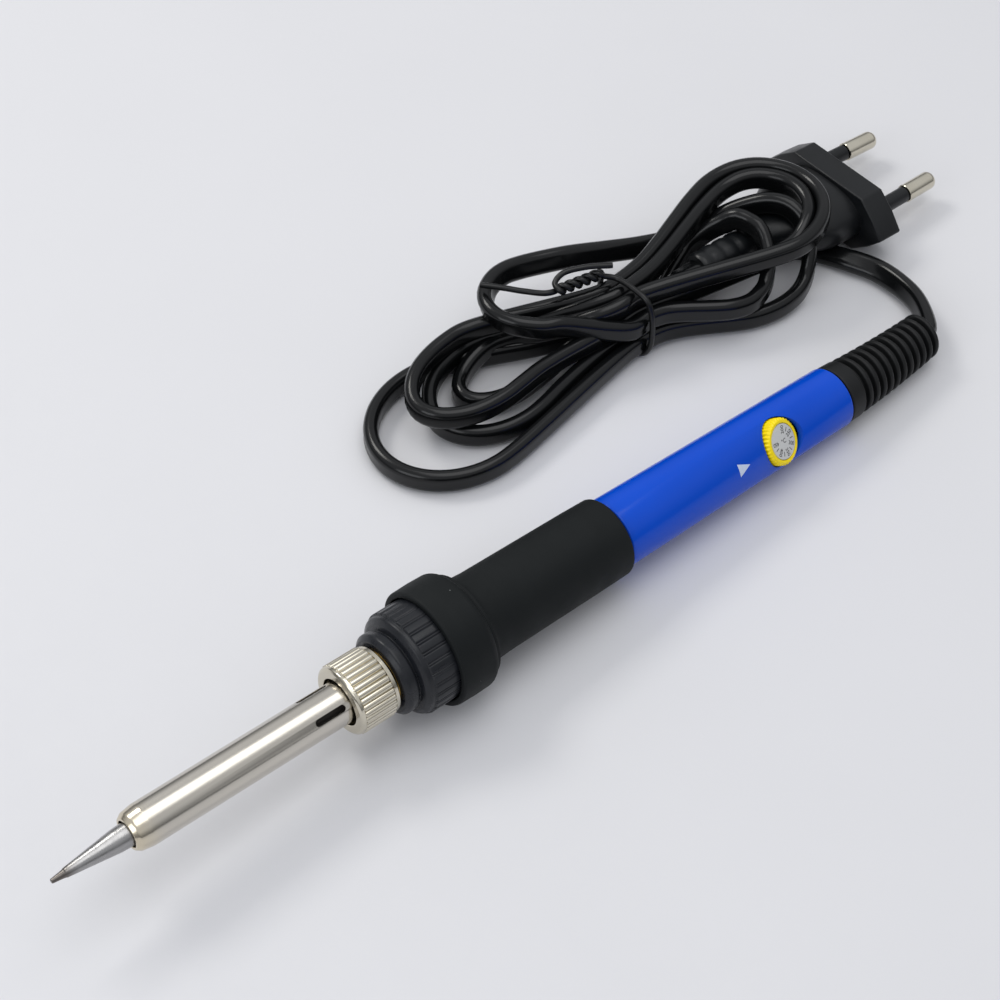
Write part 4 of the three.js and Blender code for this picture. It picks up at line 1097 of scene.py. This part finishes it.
# ---------------------------------------------------------------- handle
@dataclass
class FrontCap:
    """Black cap: a rounded step, a larger rounded shoulder, and a ring with its grooves in pairs."""

    start: float = 68.5
    bead: float = 8.15
    shoulder: float = 9.75
    ring: float = 10.2
    ring_start: float = 73.2
    ring_end: float = 85.9
    groove_pairs: int = 30

    def build(self, places: Places) -> None:
        """Makes the cap."""
        a, b, c = self.start, self.ring_start, self.ring_end
        corners = [
            (a, 5.8, 0.1), (a, self.bead - 0.9, 0.4), (a + 0.9, self.bead, 0.9),
            (a + 2.6, self.bead - 0.15, 0.7), (a + 3.1, self.bead - 0.75, 0.25),
            (a + 3.35, self.shoulder - 1.0, 0.5), (a + 4.0, self.shoulder, 0.6),
            (b, self.shoulder + 0.05, 0.15), (b + 0.25, self.ring, 0.12), (c, self.ring, 0.2), (c, 5.0, 0.2),
            (c + 11, 5.0, 0.2), (c + 11, 3.8, 0.1), (79.3, 3.8, 0), (79.3, 5.8, 0), (75.9, 5.8, 0),
            (75.9, 7.3, 0), (73.6, 7.3, 0), (73.6, 5.8, 0),
        ]
        press = notched(self.groove_pairs, 0.26, b + 0.1, c - 0.6, self.ring - 0.4,
                        lambda t: sum(math.exp(-(((t - line) / 0.05) ** 2)) for line in (0.38, 0.62)))
        blank = Blank().turn(rounded(corners, 5), self.groove_pairs * 18).press(press)
        made = blank.piece("front_cap_grooved", places.iron, 50)
        finish_piece(made, PHENOLIC, Body.IRON, ("front_cap",))


@dataclass
class Grip:
    """Soft sleeve with a wide rounded collar that blends into it."""

    start: float = 78.4
    end: float = 122.7
    collar: float = 11.75
    front: float = 8.4
    rear: float = 8.1
    wall: float = 1.3

    def build(self, places: Places) -> None:
        """Makes the sleeve."""
        a, b, r, w = self.start, self.end, self.collar, self.wall
        corners = [
            (a, r - w, 0.3), (a, r - 0.1, 0.75), (a + 4.0, r, 2.0), (a + 7.9, r - 0.1, 1.8),
            (a + 9.7, self.front + 0.3, 2.8), (a + 14.0, self.front, 2.0), (b - 6, self.rear + 0.08, 2.0),
            (b - 0.1, self.rear - 0.05, 1.7), (b, 6.9, 0.2), (87.8, 6.9, 0.2), (87.8, r - w, 0.3),
        ]
        made = Blank().turn(rounded(corners, 8), 112).piece("grip", places.iron, 50)
        finish_piece(made, SILICONE, Body.IRON, ("grip_sleeve",))


@dataclass
class Handle:
    """Glossy blue shell with a round pocket for the knob, and a printed pointer beside it."""

    start: float = 86.2
    shoulder: float = 123.1
    end: float = 183.0
    front: float = 7.2
    rear: float = 6.5
    bore: float = 5.35
    pocket: float = 4.95
    pocket_floor: float = 3.25
    pointer: Corner = (151.4, 154.3, 34.4)
    pointer_half: float = 1.35
    pointer_lift: float = 0.02

    def radius_at(self, station: float) -> float:
        """Gives the shell's radius at a station."""
        share = (station - self.shoulder) / (self.end - self.shoulder)
        return self.front + (self.rear - self.front) * share

    def shell(self, places: Places) -> None:
        """Makes the shell and cuts its pocket."""
        seat = self.front - 0.6
        corners = [
            (self.start, self.bore, 0.1), (self.start, seat, 0.2), (self.shoulder, seat, 0.05),
            (self.shoulder, self.front, 0.3), (self.end, self.rear, 0.45), (self.end, self.bore, 0.1),
        ]
        made = Blank().turn(rounded(corners, 5), 160).piece("handle", places.iron)
        floor = self.pocket_floor
        plunge = Blank().turn([(floor, 0.0), (floor, self.pocket), (12.0, self.pocket), (12.0, 0.0)], 96)
        carve(made, plunge.piece("pocket_cutter", places.knob), 0.14)
        finish_piece(made, BLUE_NYLON, Body.IRON, ("handle_shell",))

    def mark(self, places: Places) -> None:
        """Prints the pointer that shows the knob's setting."""
        base, apex, clock = self.pointer
        blank = Blank()
        bmesh.ops.create_grid(blank.mesh, x_segments=12, y_segments=12, size=1.0)
        middle = math.radians(clock)

        def wrap(spot: Vector) -> Vector:
            share = (spot.x + 1) / 2
            station = base + (apex - base) * share
            radius = self.radius_at(station) + self.pointer_lift
            across = spot.y * self.pointer_half * (1 - share) / radius
            return Vector((station, -radius * math.cos(middle + across), radius * math.sin(middle + across)))

        blank.press(wrap)
        bmesh.ops.remove_doubles(blank.mesh, verts=blank.mesh.verts, dist=1e-3)
        bmesh.ops.recalc_face_normals(blank.mesh, faces=blank.mesh.faces)
        bmesh.ops.solidify(blank.mesh, geom=blank.mesh.faces[:], thickness=0.015)
        made = blank.outward().piece("pointer_mark", places.iron, 60)
        finish_piece(made, PAD_PRINT, Body.IRON)

    def build(self, places: Places) -> None:
        """Makes the handle's pieces."""
        self.shell(places)
        self.mark(places)


@dataclass
class StrainRelief:
    """Tapered rubber sleeve: a smooth neck and eleven deep round ribs."""

    start: float = 183.3
    end: float = 211.1
    neck: float = 4.0
    neck_radius: float = 6.3
    first: float = 6.05
    last: float = 4.95
    bend: float = 1.1
    ribs: int = 11

    def bow(self, spot: Vector) -> Vector:
        """Bends the ribs towards the side that the lead goes to."""
        share = max(0.0, spot.x - self.start - self.neck) / (self.end - self.start - self.neck)
        return Vector((spot.x, spot.y + self.bend * share * share, spot.z))

    def build(self, places: Places) -> None:
        """Makes the sleeve."""
        corners: list[Corner] = [
            (177.0, 1.7, 0), (177.0, 5.05, 0.3), (self.start, 5.05, 0), (self.start, self.neck_radius, 0.35),
            (self.start + self.neck - 0.35, self.neck_radius - 0.12, 0.3),
        ]
        pitch = (self.end - self.start - self.neck) / self.ribs
        for k in range(self.ribs):
            s = self.start + self.neck + k * pitch
            r = self.first + (self.last - self.first) * k / (self.ribs - 1)
            corners += [(s - 0.02, r - 1.25, 0.15), (s + 0.42 * pitch, r - 1.25, 0.15),
                        (s + 0.5 * pitch, r, 0.45), (s + 0.94 * pitch, r, 0.45)]
        corners += [(self.end, self.last - 0.9, 0.4), (self.end, 1.7, 0)]
        blank = Blank().turn(rounded(corners, 5), 72).press(self.bow)
        made = blank.piece("strain_relief_ribbed", places.iron, 50)
        finish_piece(made, BLACK_RUBBER, Body.IRON, ("strain_relief",))


# ---------------------------------------------------------------- temperature control
@dataclass
class Control:
    """Yellow knob with a toothed rim, and its dial with generic temperatures."""

    radius: float = 4.72
    bottom: float = 3.7
    top: float = 6.7
    dial: float = 3.55
    teeth: int = 36
    settings: tuple[str, ...] = ("200", "250", "300", "350", "400", "450")
    first_angle: float = -252.0
    step_angle: float = 52.4

    def knob(self, places: Places) -> None:
        """Makes the knob."""
        r, top = self.radius, self.top
        recess = self.dial + 0.12
        corners = [
            (self.bottom, 1.5, 0), (self.bottom, r - 0.3, 0.2), (self.bottom + 0.4, r, 0.2),
            (top - 0.45, r, 0.35), (top, r - 0.55, 0.3), (top, recess, 0.12),
            (top - 0.75, recess, 0), (top - 0.75, 0.0, 0),
            (top - 2.0, 0.0, 0), (top - 2.0, 1.5, 0),
        ]
        press = notched(self.teeth, 0.26, self.bottom + 0.2, top - 0.12, r - 0.7,
                        lambda t: 0.5 + 0.5 * math.cos(TAU * t))
        blank = Blank().turn(rounded(corners, 5), self.teeth * 8).press(press)
        made = blank.piece("knob", places.knob, 50)
        finish_piece(made, YELLOW_ABS, Body.KNOB, ("temperature_knob",))

    def plate(self, places: Places) -> None:
        """Makes the dial's plate."""
        top, r = self.top, self.dial
        corners = [(top - 0.6, 0.0, 0), (top - 0.6, r, 0.1), (top - 0.05, r, 0.12), (top - 0.05, 0.0, 0)]
        made = Blank().turn(rounded(corners, 3), 64).piece("dial", places.knob)
        finish_piece(made, DIAL_FOIL, Body.KNOB, ("knob_dial",))

    def word(self, text: str, height: float, middle: Point, angle: float) -> Blank:
        """Makes flat lettering on the dial's face.

        Args:
            text: A number or a unit.
            height: Height of the lettering's type.
            middle: Its middle across and along the dial.
            angle: Turn of its baseline, in degrees.

        Returns:
            The lettering as a blank that stands on the dial.
        """
        curve = bpy.data.curves.new("type", "FONT")
        curve.body = text
        curve.size = height
        curve.align_x, curve.align_y = "CENTER", "CENTER"
        curve.extrude = 0.012
        curve.resolution_u = 3
        spare = put("type", curve)
        bpy.context.view_layer.update()
        data = bpy.data.meshes.new_from_object(spare.evaluated_get(bpy.context.evaluated_depsgraph_get()))
        blank = Blank()
        blank.mesh.from_mesh(data)
        bpy.data.objects.remove(spare)
        bpy.data.curves.remove(curve)
        bpy.data.meshes.remove(data)
        turn = Matrix.Rotation(math.radians(angle), 4, "Z")
        stand = Matrix(((0, 0, 1, self.top - 0.035), (1, 0, 0, 0), (0, 1, 0, 0), (0, 0, 0, 1)))
        return blank.lay(stand @ Matrix.Translation((middle[0], middle[1], 0)) @ turn)

    def scale(self, places: Places) -> None:
        """Prints the numbers, the ticks between them and the unit.

        Angles run from the way to the tip, anticlockwise as seen from outside.
        """
        ink = Blank()
        for k, text in enumerate(self.settings):
            angle = 180 - (self.first_angle + self.step_angle * k)
            out = math.radians(angle)
            reach = self.dial * 0.66
            ink.add(self.word(text, 1.15, (reach * math.cos(out), reach * math.sin(out)), angle))
            if k < len(self.settings) - 1:
                out = math.radians(angle - self.step_angle / 2)
                bar = [(-0.45, -0.07), (0.45, -0.07), (0.45, 0.07), (-0.45, 0.07)]
                tick = Blank().prism(bar, -0.012, 0.012)
                turn = Matrix.Rotation(out, 4, "X")
                reach = self.dial * 0.7
                spot = (self.top - 0.035, reach * math.cos(out), reach * math.sin(out))
                ink.add(tick.lay(Matrix.Translation(spot) @ turn))
        ink.add(self.word("°C", 1.3, (0.1, 0.0), 0.0))
        made = ink.piece("dial_scale", places.knob, 50)
        finish_piece(made, SCALE_INK, Body.KNOB)

    def build(self, places: Places) -> None:
        """Makes the control's pieces."""
        self.knob(places)
        self.plate(places)
        self.scale(places)


INNER_FINISHES: dict[str, Finish] = {
    "heater_element": HEATER,
    "heater_holder": CERAMIC,
    "circuit_board": LAMINATE,
    "triac": EPOXY,
    "film_capacitor": FILM_RED,
    "resistor_left": LACQUER,
    "resistor_right": LACQUER,
    "heater_lead_left": WIRE_SLEEVE,
    "heater_lead_right": WIRE_SLEEVE,
    "lead_inside_handle": PLUG_VINYL,
    "mains_core_left": WIRE_SLEEVE,
    "mains_core_right": WIRE_SLEEVE,
    "cord_clamp": EPOXY,
    "potentiometer": EPOXY,
    "pot_shaft": STEEL,
}


def dress_inside(frame: dict) -> None:
    """Gives the pieces inside the iron, which keep their CAD shapes, their own materials."""
    for name, finish in INNER_FINISHES.items():
        node = frame["nodes"][name]
        node.data.materials.clear()
        node.data.materials.append(finish.make())
        LOG.info("%s: dressed as %s", name, finish.name)


def main() -> None:
    """Builds the iron in its frame, piece by piece."""
    logging.basicConfig(level=logging.INFO, format="%(name)s %(message)s")
    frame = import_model()
    places = Places.from_frame(frame)
    Studio().build()
    lead, path, length = Lead().build(places)
    tie = TwistTie().build()
    plug = Plug()
    on_lead = [tie, plug.body(places), *plug.pins(places)]
    LOG.info("lead is %.3f m long", length)
    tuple(path[0])
    WorkingEnd().build(places)
    FrontCap().build(places)
    Grip().build(places)
    Handle().build(places)
    StrainRelief().build(places)
    Control().build(places)
    dress_inside(frame)


if __name__ == "__main__":
    main()
